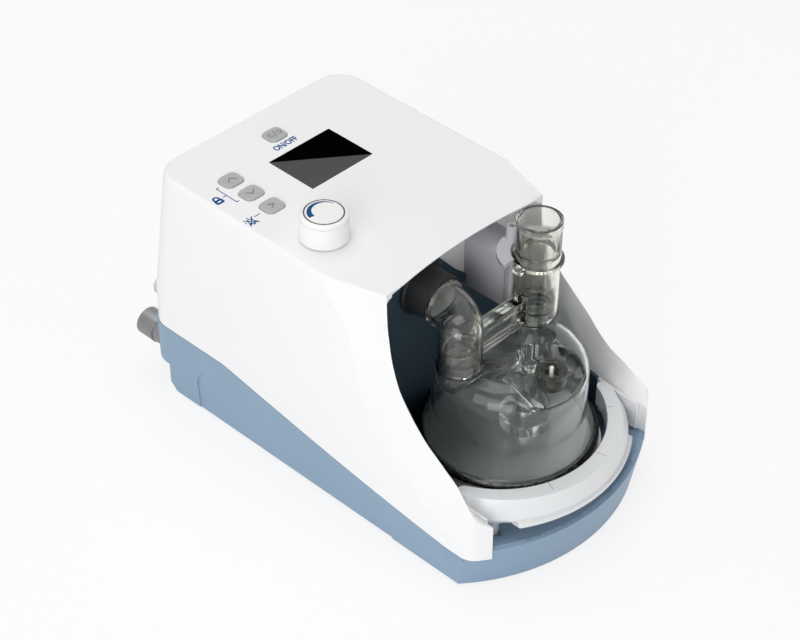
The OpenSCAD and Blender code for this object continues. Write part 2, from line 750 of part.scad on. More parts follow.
module adapter_bores() {
    z0 = adapter_z - 1;
    for (s = [-1, 1]) translate([s * port_x, port_y, z0]) cylinder(r = socket_r, h = air_z - z0);
    translate([-port_x, port_y, air_z]) sphere(r = socket_r);
    bend(socket_r - 0.1, 0, bend_angle);
    translate([mouth_x, mouth_y - 2, air_z]) rotate([-90, 0, 0]) cylinder(r = socket_r + 0.3, h = 5);
    translate([port_x, port_y, air_z - 1]) cylinder(r = socket_r - 1, h = 40);
    translate([port_x, port_y, outlet_top_z - outlet_depth]) cylinder(r = outlet_bore_r, h = outlet_depth + 1);
}

module tube_adapter() {
    color([0.6, 0.62, 0.52, 0.5]) difference() {
        adapter_outer();
        adapter_bores();
    }
}

module adapter_seals() {
    // Ring seals near the top of each chamber port
    color([0.15, 0.15, 0.15]) for (s = [-1, 1])
        translate([s * port_x, port_y, dome_top + 8]) ring(socket_r - 0.02, port_r + 0.02, 2);
}

module outlet_cuff() {
    color([0.09, 0.09, 0.1]) translate([air_x, 0, air_z]) {
        translate([0, mouth_y + gap, 0]) pipe_y(cuff_r, duct_bore_r + duct_t, cuff_end_y - mouth_y - gap);
        translate([0, bay_back_y - gap - liner_t - 2.6, 0]) pipe_y(cuff_r + 2.4, duct_bore_r + duct_t, 2.6);
    }
}

// ---------- white tower behind the breathing tube ----------

tower_top = 171;
tower_r = 21;
shelf_r = 26.5;
boss_r = 3.9;
boss_back = shelf_r - boss_r - 0.6;   // from the tower's axis to the plug boss

module tower_seat(grow = 0) {
    translate([port_x - 12 - grow, bay_back_y - 12, 124 - grow]) cube([24 + 2 * grow, 14, 40 + 2 * grow]);
}

module tube_tower() {
    color("white") difference() {
        union() {
            translate([port_x, port_y, 122]) cylinder(r = tower_r, h = tower_top - 122);
            translate([port_x, port_y, tower_top - 3]) cylinder(r = shelf_r, h = 3);
            translate([port_x - 12, port_y + 15, 124]) cube([24, bay_back_y - port_y - 13, 40]);
            translate([port_x, port_y + boss_back, tower_top - 3]) cylinder(r = boss_r, h = 12);
            translate([port_x, port_y + boss_back, 140]) cylinder(r = boss_r + 1.6, h = 30);
        }
        translate([port_x, port_y, 100]) cylinder(r = adapter_r + 3.6, h = 100);
        translate([port_x - 60, port_y - 60, 100]) cube([120, 66, 100]);
        translate([port_x, port_y + boss_back, tower_top - 2]) cylinder(r = 1.7, h = 20);
        translate([0, chamber_y, 100]) cylinder(r = dome_r + 1, h = dome_top - 100 + 1);
    }
}

module tube_contacts() {
    color("gold") translate([port_x, port_y + boss_back, tower_top - 2]) cylinder(r = 1, h = 9);
}

// ---------- finger guard ----------

// Plan of the guard: a sector outside its inner edge, kept clear of the bay's side walls
module guard_plan() {
    difference() {
        intersection() {
            polygon([[0, guard_y + 4], [-200 * sin(guard_half), guard_y - 200 * cos(guard_half)], [0, -far],
                [200 * sin(guard_half), guard_y - 200 * cos(guard_half)]]);
            translate([-guard_clear_x, -far]) square([2 * guard_clear_x, far]);
        }
        translate([0, guard_y]) circle(guard_in_r, $fn = 180);
    }
}

module guard_end(side, r_out, z0, h) {
    a = guard_half + 1;
    mid = (guard_in_r + r_out) / 2;
    translate([side * mid * sin(a), guard_y - mid * cos(a), z0]) cylinder(r = (r_out - guard_in_r) / 2, h = h);
}

module finger_guard() {
    tab_z = lip_z + guard_travel + 0.5;
    color([0.93, 0.94, 0.95]) {
        intersection() {
            hull() {
                translate([0, guard_y - 4, guard_top_z - 0.8]) cylinder(r = 79.2, h = 0.8, $fn = 96);
                translate([0, guard_y - 4, guard_top_z - 1.6]) cylinder(r = 80, h = 0.1, $fn = 96);
                translate([0, guard_y + 6, tab_z + 3]) cylinder(r = 91.5, h = 3, $fn = 96);
            }
            linear_extrude(100) guard_plan();
        }
        for (s = [-1, 1]) guard_end(s, 81.5, tab_z + 3, guard_top_z - tab_z - 3.4);
        intersection() {
            translate([0, -73, tab_z]) cylinder(r = 101, h = 3.4, $fn = 128);
            linear_extrude(100) difference() {
                polygon([[-56, -220], [-56, -140], [56, -140], [56, -220]]);
                translate([0, guard_y]) circle(guard_in_r, $fn = 180);
            }
        }
        for (s = [-1, 1]) translate([s * guard_leg_x, guard_leg_y, 18])
            cylinder(r = guard_leg_r, h = tab_z - 18 + 5);
    }
}

module coil(r, wire, pitch, turns, sides = 6, steps = 10) {
    n = turns * steps;
    lead = atan(pitch / (2 * PI * r));
    points = [for (i = [0:n]) let (a = 360 * i / steps, z = pitch * i / steps) for (k = [0:sides - 1])
        let (b = 360 * k / sides) [(r + wire * cos(b)) * cos(a) + wire * sin(b) * sin(lead) * sin(a),
            (r + wire * cos(b)) * sin(a) - wire * sin(b) * sin(lead) * cos(a), z + wire * sin(b) * cos(lead)]];
    faces = concat([[for (k = [0:sides - 1]) k]], [[for (k = [sides - 1:-1:0]) n * sides + k]],
        [for (i = [0:n - 1]) for (k = [0:sides - 1]) let (a = i * sides + k, b = i * sides + (k + 1) % sides)
            for (f = [[a, a + sides, b + sides], [a, b + sides, b]]) f]);
    polyhedron(points, faces);
}

module guard_springs() {
    free = 18 - floor_z - 1.5 - 0.6;
    color("silver") for (s = [-1, 1]) translate([s * guard_leg_x, guard_leg_y, floor_z + 1.5 + 0.45])
        coil(spring_r - 0.45, 0.4, (free - 0.6) / 5, 5);
}

// ---------- controls ----------

module screen_window() {
    color([0.02, 0.02, 0.02]) on_panel([0, window_y], -window_t)
        translate([-window.x / 2, -window.y / 2, 0]) cube([window.x, window.y, window_t]);
}

module display_module() {
    color([0.3, 0.32, 0.33]) on_panel([0, window_y], -window_t - module_t) difference() {
        translate([-window.x / 2 - 3, -window.y / 2 - 3, 0]) cube([window.x + 6, window.y + 6, module_t]);
        translate([-window.x / 2 - 4, -window.y / 2 - 4, module_t - (wall - window_t) - gap])
            difference() {
                cube([window.x + 8, window.y + 8, 10]);
                translate([4.2, 4.2, -1]) cube([window.x - 0.4, window.y - 0.4, 12]);
            }
    }
}

module control_board() {
    color([0.1, 0.4, 0.2]) difference() {
        on_panel([0, 0], board_z - board_t) translate([-76, 40, 0]) cube([110, 86, board_t]);
        for (p = board_holes) on_panel(p, board_z - 5) cylinder(r = 1.6, h = 10);
    }
    color([0.85, 0.85, 0.8]) on_panel([0, 0], board_z) translate([-window.x / 2, window_y - window.y / 2 - 2, 0])
        cube([window.x, 4, board_clear]);
}

board_clear = -board_z - window_t - module_t;
board_holes = [[-72, 44], [-72, 122], [30, 44], [30, 122]];

module key_switches() {
    color([0.15, 0.15, 0.15]) for (p = concat([power_at], row_keys)) on_panel(p, board_z) {
        translate([-3, -3, 0]) cube([6, 6, 3.5]);
        cylinder(r = 1.7, h = 4.4);
    }
}

mat_z = -wall - 2.4;

module key_mat() {
    color([0.25, 0.26, 0.28]) difference() {
        union() {
            on_panel([key_x, up_y - key_pitch], mat_z - 1.2) round_box([22, 2 * key_pitch + 20], 4, 1.2);
            on_panel(power_at, mat_z - 1.2) round_box([22, 20], 4, 1.2);
        }
        for (p = concat([power_at], row_keys)) on_panel(p, mat_z - 4) cylinder(r = 3.2, h = 8);
    }
    color([0.25, 0.26, 0.28]) for (p = [[key_x, up_y + 9.1], [key_x, up_y - 2 * key_pitch - 9.1],
            power_at + [-10, 0], power_at + [10, 0]])
        on_panel(p, mat_z - eps) cylinder(r = 0.9, h = -wall - mat_z + eps);
}

module key_body(at) {
    color([0.62, 0.64, 0.65]) {
        on_panel(at, mat_z + gap + key_travel) round_box(key, key_r, key_rise - mat_z - gap - key_travel);
        // Flange that keeps the key in its hole
        on_panel(at, mat_z + gap + key_travel)
            round_box(key + [2.4, 2.4], key_r + 1.2, -wall - gap - mat_z - gap - key_travel);
        on_panel(at, board_z + 4.4 + key_travel + 0.1)
            cylinder(r = 2, h = mat_z + gap + key_travel - board_z - 4.4 - key_travel);
    }
}

module power_key() { key_body(power_at); }
module up_key() { key_body(row_keys[0]); }
module down_key() { key_body(row_keys[1]); }
module mute_key() { key_body(row_keys[2]); }

knob_clear = 0.6;

module oxygen_knob() {
    color("white") on_panel(knob_at, knob_clear) difference() {
        union() {
            cylinder(r1 = knob_r, r2 = knob_r - 0.5, h = 15);
            translate([0, 0, 14.5]) cylinder(r = knob_r - 1, h = 1);
            translate([0, 0, 15.5]) cylinder(r1 = knob_r - 0.5, r2 = knob_r - 2.6, h = knob_h - 15.5);
        }
        translate([0, 0, knob_h - 1]) cylinder(r = cap_r + 1, h = 2);
        translate([0, 0, -1]) ring(knob_r - 2.4, 6.5, 10);
        translate([0, 0, -1]) cylinder(r = stem_r + 0.02, h = 13);
    }
}

cap_r = 12.2;

module knob_cap() {
    color("white") on_panel(knob_at, knob_clear + knob_h - 1) cylinder(r = cap_r, h = 1.2);
}

module knob_ring() {
    color([0.3, 0.27, 0.25]) on_panel(knob_at, knob_clear + knob_h - 1) ring(cap_r + 0.9, cap_r + 0.05, 1.1);
}

module valve_stem() {
    color("silver") on_panel(knob_at, -26) {
        cylinder(r = stem_r, h = 26 + knob_clear + 11.8);
        translate([0, 0, 0]) cylinder(r = 5, h = 3);
    }
}

module valve_body() {
    color([0.72, 0.6, 0.3]) on_panel(knob_at, 0) difference() {
        union() {
            translate([0, 0, -36]) cylinder(r = 10, h = 36 - wall - gap);
            translate([0, 0, -wall - gap]) cylinder(r = 5, h = wall + gap + 0.3);
            translate([-4, 0, -30]) rotate([0, -90, 0]) cylinder(r = 3.5, h = 14);
            translate([0, 0, -44]) cylinder(r = 4, h = 9);
        }
        translate([0, 0, -26.2]) cylinder(r = stem_r + run, h = 40);
        translate([0, 0, -26.2]) cylinder(r = 5.2, h = 3.5);
        translate([0, 0, -50]) cylinder(r = 2.4, h = 25);
        translate([0, 0, -30]) rotate([0, -90, 0]) cylinder(r = 2, h = 30);
    }
}

// ---------- oxygen path ----------

module oxygen_inlet() {
    reach = -front_y - oxygen_seat_y;
    color([0.8, 0.8, 0.82]) translate([oxygen_at.x, oxygen_seat_y, oxygen_at.y]) difference() {
        union() {
            pipe_y(oxygen_neck_r, 0, reach - 1);
            translate([0, rear_y + 0.2 - oxygen_seat_y, 0]) pipe_y(oxygen_r, 0, -front_y - rear_y - 0.2);
            translate([0, -6, 0]) pipe_y(3.4, 0, 7);
        }
        translate([0, -7, 0]) pipe_y(2, 0, 60);
        translate([0, reach - 12, 0]) pipe_y(oxygen_neck_r - 1.5, 0, 14);
    }
}

// Inwards from the inlet, past the screw post, forwards, then up to the valve
module oxygen_tube() {
    foot = [knob_at.x, knob_at.y * cos(panel_tilt) + 44 * sin(panel_tilt)];
    valve_z = panel_z + knob_at.y * sin(panel_tilt) - 44 * cos(panel_tilt);
    turn_y = oxygen_seat_y - 7;
    r = 4.4;
    color([0.2, 0.5, 0.3, 0.9]) difference() {
        union() {
            translate([oxygen_at.x, turn_y, oxygen_at.y]) {
                rotate([-90, 0, 0]) cylinder(r = r, h = 6.5);
                sphere(r);
                rotate([0, 90, 0]) cylinder(r = r, h = foot.x - oxygen_at.x);
            }
            translate([foot.x, turn_y, oxygen_at.y]) {
                sphere(r);
                rotate([90, 0, 0]) cylinder(r = r, h = turn_y - foot.y);
            }
            translate([foot.x, foot.y, oxygen_at.y]) {
                sphere(r);
                cylinder(r = r, h = valve_z - oxygen_at.y + 3);
            }
        }
        translate([foot.x, foot.y, valve_z - 1]) cylinder(r = 4.05, h = 20);
        translate([oxygen_at.x, oxygen_seat_y - 6.2, oxygen_at.y]) rotate([-90, 0, 0]) cylinder(r = 3.45, h = 40);
    }
}

module sensor_socket() {
    color([0.7, 0.71, 0.72]) translate(sensor_at) difference() {
        union() {
            translate([0, -5, 0]) pipe_y(5.9, 0, 6);
            pipe_y(7.6, 0, 4.4);
        }
        translate([0, -1, 0]) pipe_y(4.2, 0, 20);
    }
}

// ---------- power and boards ----------

module mains_inlet() {
    color([0.08, 0.08, 0.08]) translate([mains_at.x, rear_y, mains_at.y]) difference() {
        union() {
            translate([-14, -26, -10]) cube([28, 27, 20]);
            translate([-16.5, 0, -12.5]) cube([33, 2.4, 25]);
        }
        translate([-12, -16, -8]) cube([24, 40, 16]);
    }
    color("silver") for (p = [[-7, -2], [7, -2], [0, 3]])
        translate([mains_at.x + p.x - 1, rear_y - 17, mains_at.y + p.y - 2]) cube([2, 14, 4]);
}

module power_supply() {
    color([0.7, 0.72, 0.74]) translate([-20, 26, floor_z]) difference() {
        cube([96, 92, 3 + 34]);
        translate([2, 2, 3]) cube([92, 88, 40]);
    }
    color([0.15, 0.35, 0.2]) translate([-17, 29, floor_z + 3]) cube([90, 86, 1.6]);
    color([0.2, 0.2, 0.25]) {
        translate([-8, 40, floor_z + 4.6]) cube([26, 30, 22]);
        for (i = [0:2]) translate([34 + 14 * i, 56, floor_z + 4.6]) cylinder(r = 6, h = 24);
        translate([30, 80, floor_z + 4.6]) cube([30, 20, 14]);
    }
}

module chassis_tray() {
    color([0.78, 0.79, 0.8]) difference() {
        union() {
            translate([-half_w + 15, tray_y[0], tray_z]) cube([2 * half_w - 30, tray_y[1] - tray_y[0] - 8, tray_t]);
            for (s = [-1, 1], y = [tray_y[0] + 8, tray_y[1] - 25])
                translate([s * (half_w - 21), y, floor_z]) cylinder(r = 4, h = tray_z - floor_z);
        }
        translate([knob_at.x - 8, knob_at.y - 8, tray_z - 1]) cube([16, 18, 4]);
    }
}

module main_board() {
    at = [-10, -22, tray_z + tray_t + 5];
    color([0.1, 0.4, 0.2]) difference() {
        translate(at) cube([72, 96, 1.6]);
        for (x = [4, 68], y = [4, 92]) translate(at + [x, y, -1]) cylinder(r = 1.6, h = 5);
        for (p = mount_xy) translate([p.x, p.y, at.z - 1]) cylinder(r = 5.6, h = 5);
    }
    color([0.12, 0.12, 0.12]) translate(at + [0, 0, 1.6]) {
        translate([20, 42, 0]) cube([14, 14, 1.6]);
        translate([54, 56, 0]) cube([10, 20, 8]);
        translate([8, 80, 0]) cube([24, 8, 9]);
        translate([48, 14, 0]) cylinder(r = 5, h = 12);
    }
}

module board_screws() {
    color("silver") {
        for (x = [-6, 58], y = [-18, 70]) translate([x, y, tray_z + tray_t]) {
            cylinder(r = 3, h = 5);
            cylinder(r = 1.5, h = 6.6);
            translate([0, 0, 6.6]) cylinder(r = 2.8, h = 1.6);
        }
        for (p = board_holes) on_panel(p, board_z) {
            cylinder(r = 3, h = -board_z - wall);
            translate([0, 0, -board_t]) cylinder(r = 1.5, h = board_t + eps);
            translate([0, 0, -board_t - 1.6]) cylinder(r = 2.8, h = 1.6);
        }
    }
}

module alarm_speaker() {
    color([0.1, 0.1, 0.1]) translate([-44, 100, floor_z]) {
        cylinder(r = 16, h = 6);
        translate([0, 0, 6]) cylinder(r1 = 14, r2 = 9, h = 6);
        translate([0, 0, 12]) cylinder(r = 9, h = 5);
    }
}

// ---------- blower ----------

module volute_plan(inset = 0) {
    translate(blower_at) circle(volute_r - inset);
    translate([air_x - duct_bore_r - duct_t + inset, 4]) square([2 * (duct_bore_r + duct_t - inset), blower_at.y - 4]);
}

module blower_housing() {
    color([0.2, 0.21, 0.23]) difference() {
        translate([0, 0, volute_z]) linear_extrude(volute_h - 3) volute_plan();
        translate([0, 0, volute_z + 2]) linear_extrude(volute_h) difference() {
            volute_plan(2);
            translate([air_x - 20, 0]) square([40, 4 + 2]);
        }
        translate([blower_at.x, blower_at.y, volute_z - 1]) cylinder(r = 6, h = 10);
        translate([air_x, 0, air_z]) pipe_y(duct_bore_r - 0.5, 0, 8);
    }
}

module blower_lid() {
    color([0.24, 0.25, 0.27]) difference() {
        union() {
            translate([0, 0, volute_z + volute_h - 3]) linear_extrude(3) volute_plan();
            translate([blower_at.x, blower_at.y, volute_z + volute_h]) cylinder(r = 16, h = lid_rise);
        }
        translate([blower_at.x, blower_at.y, volute_z]) cylinder(r = 13.5, h = 60);
    }
}

module impeller() {
    color([0.85, 0.86, 0.87]) translate([blower_at.x, blower_at.y, volute_z + 3.4]) {
        cylinder(r = impeller_r, h = 1.6);
        cylinder(r = 6, h = 12);
        translate([0, 0, -20]) cylinder(r = shaft_r, h = 22);
        for (a = [0:30:330]) rotate(a) translate([6, -0.6, 1]) cube([impeller_r - 7, 1.2, 12]);
        translate([0, 0, 12.8]) ring(impeller_r - 1, 14, 1.2);
    }
}

module blower_motor() {
    color([0.65, 0.66, 0.68]) translate([blower_at.x, blower_at.y, volute_z - motor_h]) difference() {
        union() {
            cylinder(r = motor_r, h = motor_h);
            translate([0, 0, motor_h - eps]) cylinder(r = 5.8, h = 2);
        }
        translate([0, 0, motor_h - 20]) cylinder(r = shaft_r + run, h = 30);
    }
}

mount_xy = [for (a = [30:120:270]) blower_at + 31 * [cos(a), sin(a)]];

module blower_mounts() {
    color([0.15, 0.15, 0.16]) for (p = mount_xy) translate([p.x, p.y, tray_z + tray_t]) {
        cylinder(r = 5, h = 6);
        cylinder(r = 3, h = volute_z - tray_z - tray_t);
        translate([0, 0, volute_z - tray_z - tray_t - 6]) cylinder(r = 5, h = 6);
    }
}

module flow_sensor() {
    color([0.85, 0.86, 0.88]) translate([air_x, -14, air_z]) difference() {
        union() {
            pipe_y(duct_bore_r + duct_t, 0, 18);
            translate([-6, 3, duct_bore_r]) cube([12, 12, 7]);
        }
        translate([0, -1, 0]) pipe_y(duct_bore_r, 0, 30);
    }
}

module outlet_duct() {
    color([0.75, 0.77, 0.8]) translate([air_x, mouth_y + 2, air_z]) {
        pipe_y(duct_bore_r + duct_t - 0.02, duct_bore_r, -14 - mouth_y - 2);
        translate([0, cuff_end_y - mouth_y - 2, 0]) pipe_y(duct_bore_r + duct_t + 3, duct_bore_r, 3);
    }
}

// ---------- air inlet ----------

module inlet_duct() {
    z0 = volute_z + volute_h + lid_rise;
    depth = 4.8;
    back = 118;
    low = 92;
    color([0.6, 0.62, 0.66]) difference() {
        union() {
            translate([-22, blower_at.y - 18, z0]) cube([48, back - blower_at.y + 32, depth]);
            translate([-28, back, low]) cube([56, 14, z0 + depth - low]);
            on_rear([-28, -40, filter_up + 2]) cube([56, 26, filter_size.y - 4]);
        }
        translate([-20.6, blower_at.y - 16.6, z0 + 1.2]) cube([45.2, back - blower_at.y + 27, depth - 2.4]);
        translate([-26.6, back + 1.4, low + 1.4]) cube([53.2, 11.2, z0 + depth - low - 2.8]);
        on_rear([-26.6, -30, filter_up + 3.4]) cube([53.2, 40, filter_size.y - 6.8]);
        translate([blower_at.x, blower_at.y, z0 - 1]) cylinder(r = 13.5, h = 3);
    }
}

module air_filter() {
    color([0.9, 0.9, 0.86]) filter_box(-gap, -14, -6);
}

hinge_at = [0, -2.4, filter_up + 2.2];

module filter_cover() {
    color([0.85, 0.87, 0.88]) difference() {
        union() {
            difference() {
                filter_box(0, -2.6, -0.4);
                // Room below the hinge for the lower edge to swing
                on_rear([-filter_size.x, -4, filter_up - 1]) cube([2 * filter_size.x, 8, 2]);
            }
            for (s = [-1, 1]) on_rear(hinge_at + [s * 24 - 4, 0, 0]) rotate([0, 90, 0]) cylinder(r = 1.8, h = 8);
        }
        for (x = [-24:8:24]) on_rear([x - 1.6, -6, filter_up + 9]) cube([3.2, 10, filter_size.y - 15]);
        on_rear(hinge_at + [-40, 0, 0]) rotate([0, 90, 0]) cylinder(r = 0.8 + run, h = 80);
    }
}

module filter_pin(shorten = 0) {
    half = filter_size.x / 2 + 2 - shorten;
    on_rear(hinge_at + [-half, 0, 0]) rotate([0, 90, 0]) cylinder(r = 0.8, h = 2 * half);
}

module hinge_pin() {
    color("silver") filter_pin();
}

base_case();
bay_liner();
top_cover();
screen_window();
display_module();
control_board();
key_switches();
key_mat();
power_key();
up_key();
down_key();
mute_key();
oxygen_knob();
knob_cap();
knob_ring();
valve_stem();
valve_body();
oxygen_inlet();
oxygen_tube();
sensor_socket();
mains_inlet();
power_supply();
main_board();
board_screws();
alarm_speaker();
chassis_tray();
blower_housing();
blower_lid();
impeller();
blower_motor();
blower_mounts();
inlet_duct();
air_filter();
filter_cover();
hinge_pin();
flow_sensor();
outlet_duct();
outlet_cuff();
heater_plate();
heater_element();
heater_carrier();
thermal_cutout();
finger_guard();
guard_springs();
chamber_dome();
chamber_plate();
chamber_seal();
chamber_float();
fill_port();
fill_pin();
tube_adapter();
adapter_seals();
tube_tower();
tube_contacts();
rubber_feet();
case_screws();
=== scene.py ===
import bmesh
import bpy
import json
import math
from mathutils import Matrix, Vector


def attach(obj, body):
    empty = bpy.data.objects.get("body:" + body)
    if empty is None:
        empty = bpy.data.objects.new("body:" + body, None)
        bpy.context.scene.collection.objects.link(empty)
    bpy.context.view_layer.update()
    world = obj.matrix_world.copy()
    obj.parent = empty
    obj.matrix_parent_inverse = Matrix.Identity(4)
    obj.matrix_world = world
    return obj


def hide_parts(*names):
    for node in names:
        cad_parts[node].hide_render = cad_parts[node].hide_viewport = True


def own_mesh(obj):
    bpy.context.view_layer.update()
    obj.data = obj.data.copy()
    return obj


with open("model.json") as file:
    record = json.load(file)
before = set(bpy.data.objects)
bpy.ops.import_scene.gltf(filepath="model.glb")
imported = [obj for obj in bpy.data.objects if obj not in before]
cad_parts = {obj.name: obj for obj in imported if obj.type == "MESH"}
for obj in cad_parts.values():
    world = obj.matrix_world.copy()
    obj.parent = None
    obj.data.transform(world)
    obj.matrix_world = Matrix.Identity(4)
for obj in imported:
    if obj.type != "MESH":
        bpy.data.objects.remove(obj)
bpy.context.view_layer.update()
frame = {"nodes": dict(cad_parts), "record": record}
nodes = frame["nodes"]
scene = bpy.context.scene
mm = 0.001


# Nodes that several finishes share

def startMaterial(name):
    made = bpy.data.materials.new(name)
    made.use_nodes = True
    tree = made.node_tree
    return made, tree.nodes, tree.links, tree.nodes["Principled BSDF"]


def fromScreen(*rgb):
    # 0..255 display values to the renderer's linear ones
    shares = [c / 255 for c in rgb]
    return tuple(s / 12.92 if s <= 0.04045 else ((s + 0.055) / 1.055) ** 2.4 for s in shares) + (1,)


def noiseOn(ns, ln, place, scale, detail=2):
    noise = ns.new("ShaderNodeTexNoise")
    noise.inputs["Scale"].default_value = scale
    noise.inputs["Detail"].default_value = detail
    ln.new(place, noise.inputs["Vector"])
    return noise.outputs["Fac"]


def toned(ns, ln, skin, share, look, stops):
    # From a slightly darker shade of the colour to the colour itself
    tone = ns.new("ShaderNodeValToRGB")
    dark, full = tone.color_ramp.elements
    dip = 1 - look["cloud"]
    c = fromScreen(*look["colour"])
    dark.color, full.color = (c[0] * dip, c[1] * dip, c[2] * dip, 1), c
    dark.position, full.position = stops
    ln.new(share, tone.inputs["Fac"])
    ln.new(tone.outputs["Color"], skin.inputs["Base Color"])


def bumped(ns, ln, skin, height, strength, distance):
    bump = ns.new("ShaderNodeBump")
    bump.inputs["Strength"].default_value = strength
    bump.inputs["Distance"].default_value = distance
    ln.new(height, bump.inputs["Height"])
    ln.new(bump.outputs["Normal"], skin.inputs["Normal"])


def mathNode(ns, ln, operation, *values):
    # Each value is a number or another node's output
    made = ns.new("ShaderNodeMath")
    made.operation = operation
    for socket, value in zip(made.inputs, values):
        if isinstance(value, (int, float)):
            socket.default_value = value
        else:
            ln.new(value, socket)
    return made.outputs[0]


# Moulded plastic, rubber and print: a soft cloudiness in the colour, spark-eroded grain in the bump
mouldedUsual = {"shine": 0.5, "coat": 0, "coatRough": 0.25, "cloud": 0.03, "cloudScale": 9,
                "grain": 0.12, "grainScale": 1400, "grainDeep": 0.0002}
mouldedLooks = {
    "coverWhite": {"colour": (246, 246, 247), "rough": 0.42, "cloud": 0.015},
    "knobWhite": {"colour": (246, 245, 244), "rough": 0.35, "cloud": 0.02},
    "guardWhite": {"colour": (236, 238, 240), "rough": 0.3, "coat": 0.2},
    "baseBlue": {"colour": (138, 163, 187), "rough": 0.45, "cloud": 0.04},
    "linerBlue": {"colour": (52, 74, 90), "rough": 0.5, "cloud": 0.08},
    "keyGrey": {"colour": (178, 177, 177), "rough": 0.5},
    "ringBrown": {"colour": (84, 75, 71), "rough": 0.4},
    "printBlue": {"colour": (14, 80, 138), "rough": 0.5, "shine": 0.1},
    # Dark grey that paints the shade of engraved lines, on the key signs and the guard's ticks
    "keyMark": {"colour": (120, 120, 124), "rough": 0.5},
    "blackRubber": {"colour": (34, 36, 38), "rough": 0.55, "grain": 0.3},
    "blackPlastic": {"colour": (30, 31, 33), "rough": 0.35},
    "paleGrey": {"colour": (198, 200, 203), "rough": 0.45},
    # The tower's light grey is darkened further as painted shade, standing in for the shadow under the roof
    "towerGreyPaintedShade": {"colour": (186, 184, 190), "rough": 0.4},
    "sealGrey": {"colour": (120, 124, 124), "rough": 0.45},
    "boardGreen": {"colour": (24, 92, 50), "rough": 0.3, "cloud": 0.15, "cloudScale": 60},
    "filterFoam": {"colour": (205, 205, 190), "rough": 0.95, "grain": 0.9, "grainScale": 700},
    "foilBrown": {"colour": (150, 96, 50), "rough": 0.3},
}


def mouldedPlastic(name, look):
    made, ns, ln, skin = startMaterial(name)
    skin.inputs["Roughness"].default_value = look["rough"]
    skin.inputs["Specular IOR Level"].default_value = look["shine"]
    skin.inputs["Coat Weight"].default_value = look["coat"]
    skin.inputs["Coat Roughness"].default_value = look["coatRough"]
    where = ns.new("ShaderNodeTexCoord").outputs["Object"]
    toned(ns, ln, skin, noiseOn(ns, ln, where, look["cloudScale"], 3), look, (0.3, 0.7))
    bumped(ns, ln, skin, noiseOn(ns, ln, where, look["grainScale"]), look["grain"], look["grainDeep"])
    return made


# Metals: fine tool lines, packed close along the stretched axis
metalUsual = {"stretch": (1, 1, 30), "lineScale": 60, "cloud": 0.18, "line": 0.15, "lineDeep": 0.0001}
metalLooks = {
    "inletGrey": {"colour": (150, 150, 152), "rough": 0.38, "stretch": (1, 30, 1)},
    "brightSteel": {"colour": (205, 206, 208), "rough": 0.28},
    "sheetSteel": {"colour": (190, 192, 195), "rough": 0.4, "stretch": (30, 1, 1)},
    "turnedBrass": {"colour": (205, 170, 95), "rough": 0.3},
    "heaterAluminium": {"colour": (205, 207, 208), "rough": 0.35, "stretch": (8, 8, 8)},
}


def turnedMetal(name, look):
    made, ns, ln, skin = startMaterial(name)
    skin.inputs["Metallic"].default_value = 1
    skin.inputs["Roughness"].default_value = look["rough"]
    place = ns.new("ShaderNodeMapping")
    place.inputs["Scale"].default_value = look["stretch"]
    ln.new(ns.new("ShaderNodeTexCoord").outputs["Object"], place.inputs["Vector"])
    lines = noiseOn(ns, ln, place.outputs["Vector"], look["lineScale"], 4)
    toned(ns, ln, skin, lines, look, (0, 1))
    bumped(ns, ln, skin, lines, look["line"], look["lineDeep"])
    return made


# See-through mouldings: a tint and faint flow marks
clearUsual = {"ior": 1.5, "flow": 0.06, "flowScale": 40, "flowDeep": 0.0006}
clearLooks = {
    "collarSmoke": {"colour": (128, 130, 122), "rough": 0.06, "clear": 0.9},
    "chamberSmoke": {"colour": (232, 236, 234), "rough": 0.04, "clear": 0.99, "ior": 1.42},
    "adapterSmoke": {"colour": (243, 244, 237), "rough": 0.03, "clear": 1.0},
}


def clearPlastic(name, look):
    made, ns, ln, skin = startMaterial(name)
    skin.inputs["Base Color"].default_value = fromScreen(*look["colour"])
    skin.inputs["Roughness"].default_value = look["rough"]
    skin.inputs["IOR"].default_value = look["ior"]
    skin.inputs["Transmission Weight"].default_value = look["clear"]
    where = ns.new("ShaderNodeTexCoord").outputs["Object"]
    bumped(ns, ln, skin, noiseOn(ns, ln, where, look["flowScale"]), look["flow"], look["flowDeep"])
    return made


finishes = {}
for maker, usual, looks in ((mouldedPlastic, mouldedUsual, mouldedLooks), (turnedMetal, metalUsual, metalLooks),
                            (clearPlastic, clearUsual, clearLooks)):
    for name, look in looks.items():
        finishes[name] = maker(name, {**usual, **look})
print("finishes ready:", len(finishes))


# Putting pieces in the scene

def slotOf(node):
    # The record's material slot of a node
    for part in frame["record"]["subparts"]:
        if part["node"] == node:
            return part["material_slot"]


def placed(name, mesh, body, slot, finish, *replaced):
    obj = bpy.data.objects.new(name, mesh)
    scene.collection.objects.link(obj)
    mesh.materials.clear()
    mesh.materials.append(finishes[finish])
    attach(obj, body)
    if replaced:
        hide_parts(*replaced)
    return obj


def plainMesh(obj):
    # The object's mesh with its live modifiers in it
    dg = bpy.context.evaluated_depsgraph_get()
    dg.update()
    return bpy.data.meshes.new_from_object(obj.evaluated_get(dg))


def softShade(mesh, angle):
    mesh.polygons.foreach_set("use_smooth", [True] * len(mesh.polygons))
    mesh.set_sharp_from_angle(angle=math.radians(angle))


def weighted(obj):
    m = obj.modifiers.new("weigh", "WEIGHTED_NORMAL")
    m.keep_sharp = True
    m.weight = 80
    return obj


def joinedUp(mesh, reach, outward=False):
    # Merges points closer than reach, and turns the faces outwards where asked
    bm = bmesh.new()
    bm.from_mesh(mesh)
    bmesh.ops.remove_doubles(bm, verts=bm.verts, dist=reach)
    if outward:
        bmesh.ops.recalc_face_normals(bm, faces=bm.faces)
    bm.to_mesh(mesh)
    bm.free()
    return mesh


def welded(node):
    # A joined-up copy of a CAD node's mesh
    return joinedUp(nodes[node].data.copy(), 2e-6)


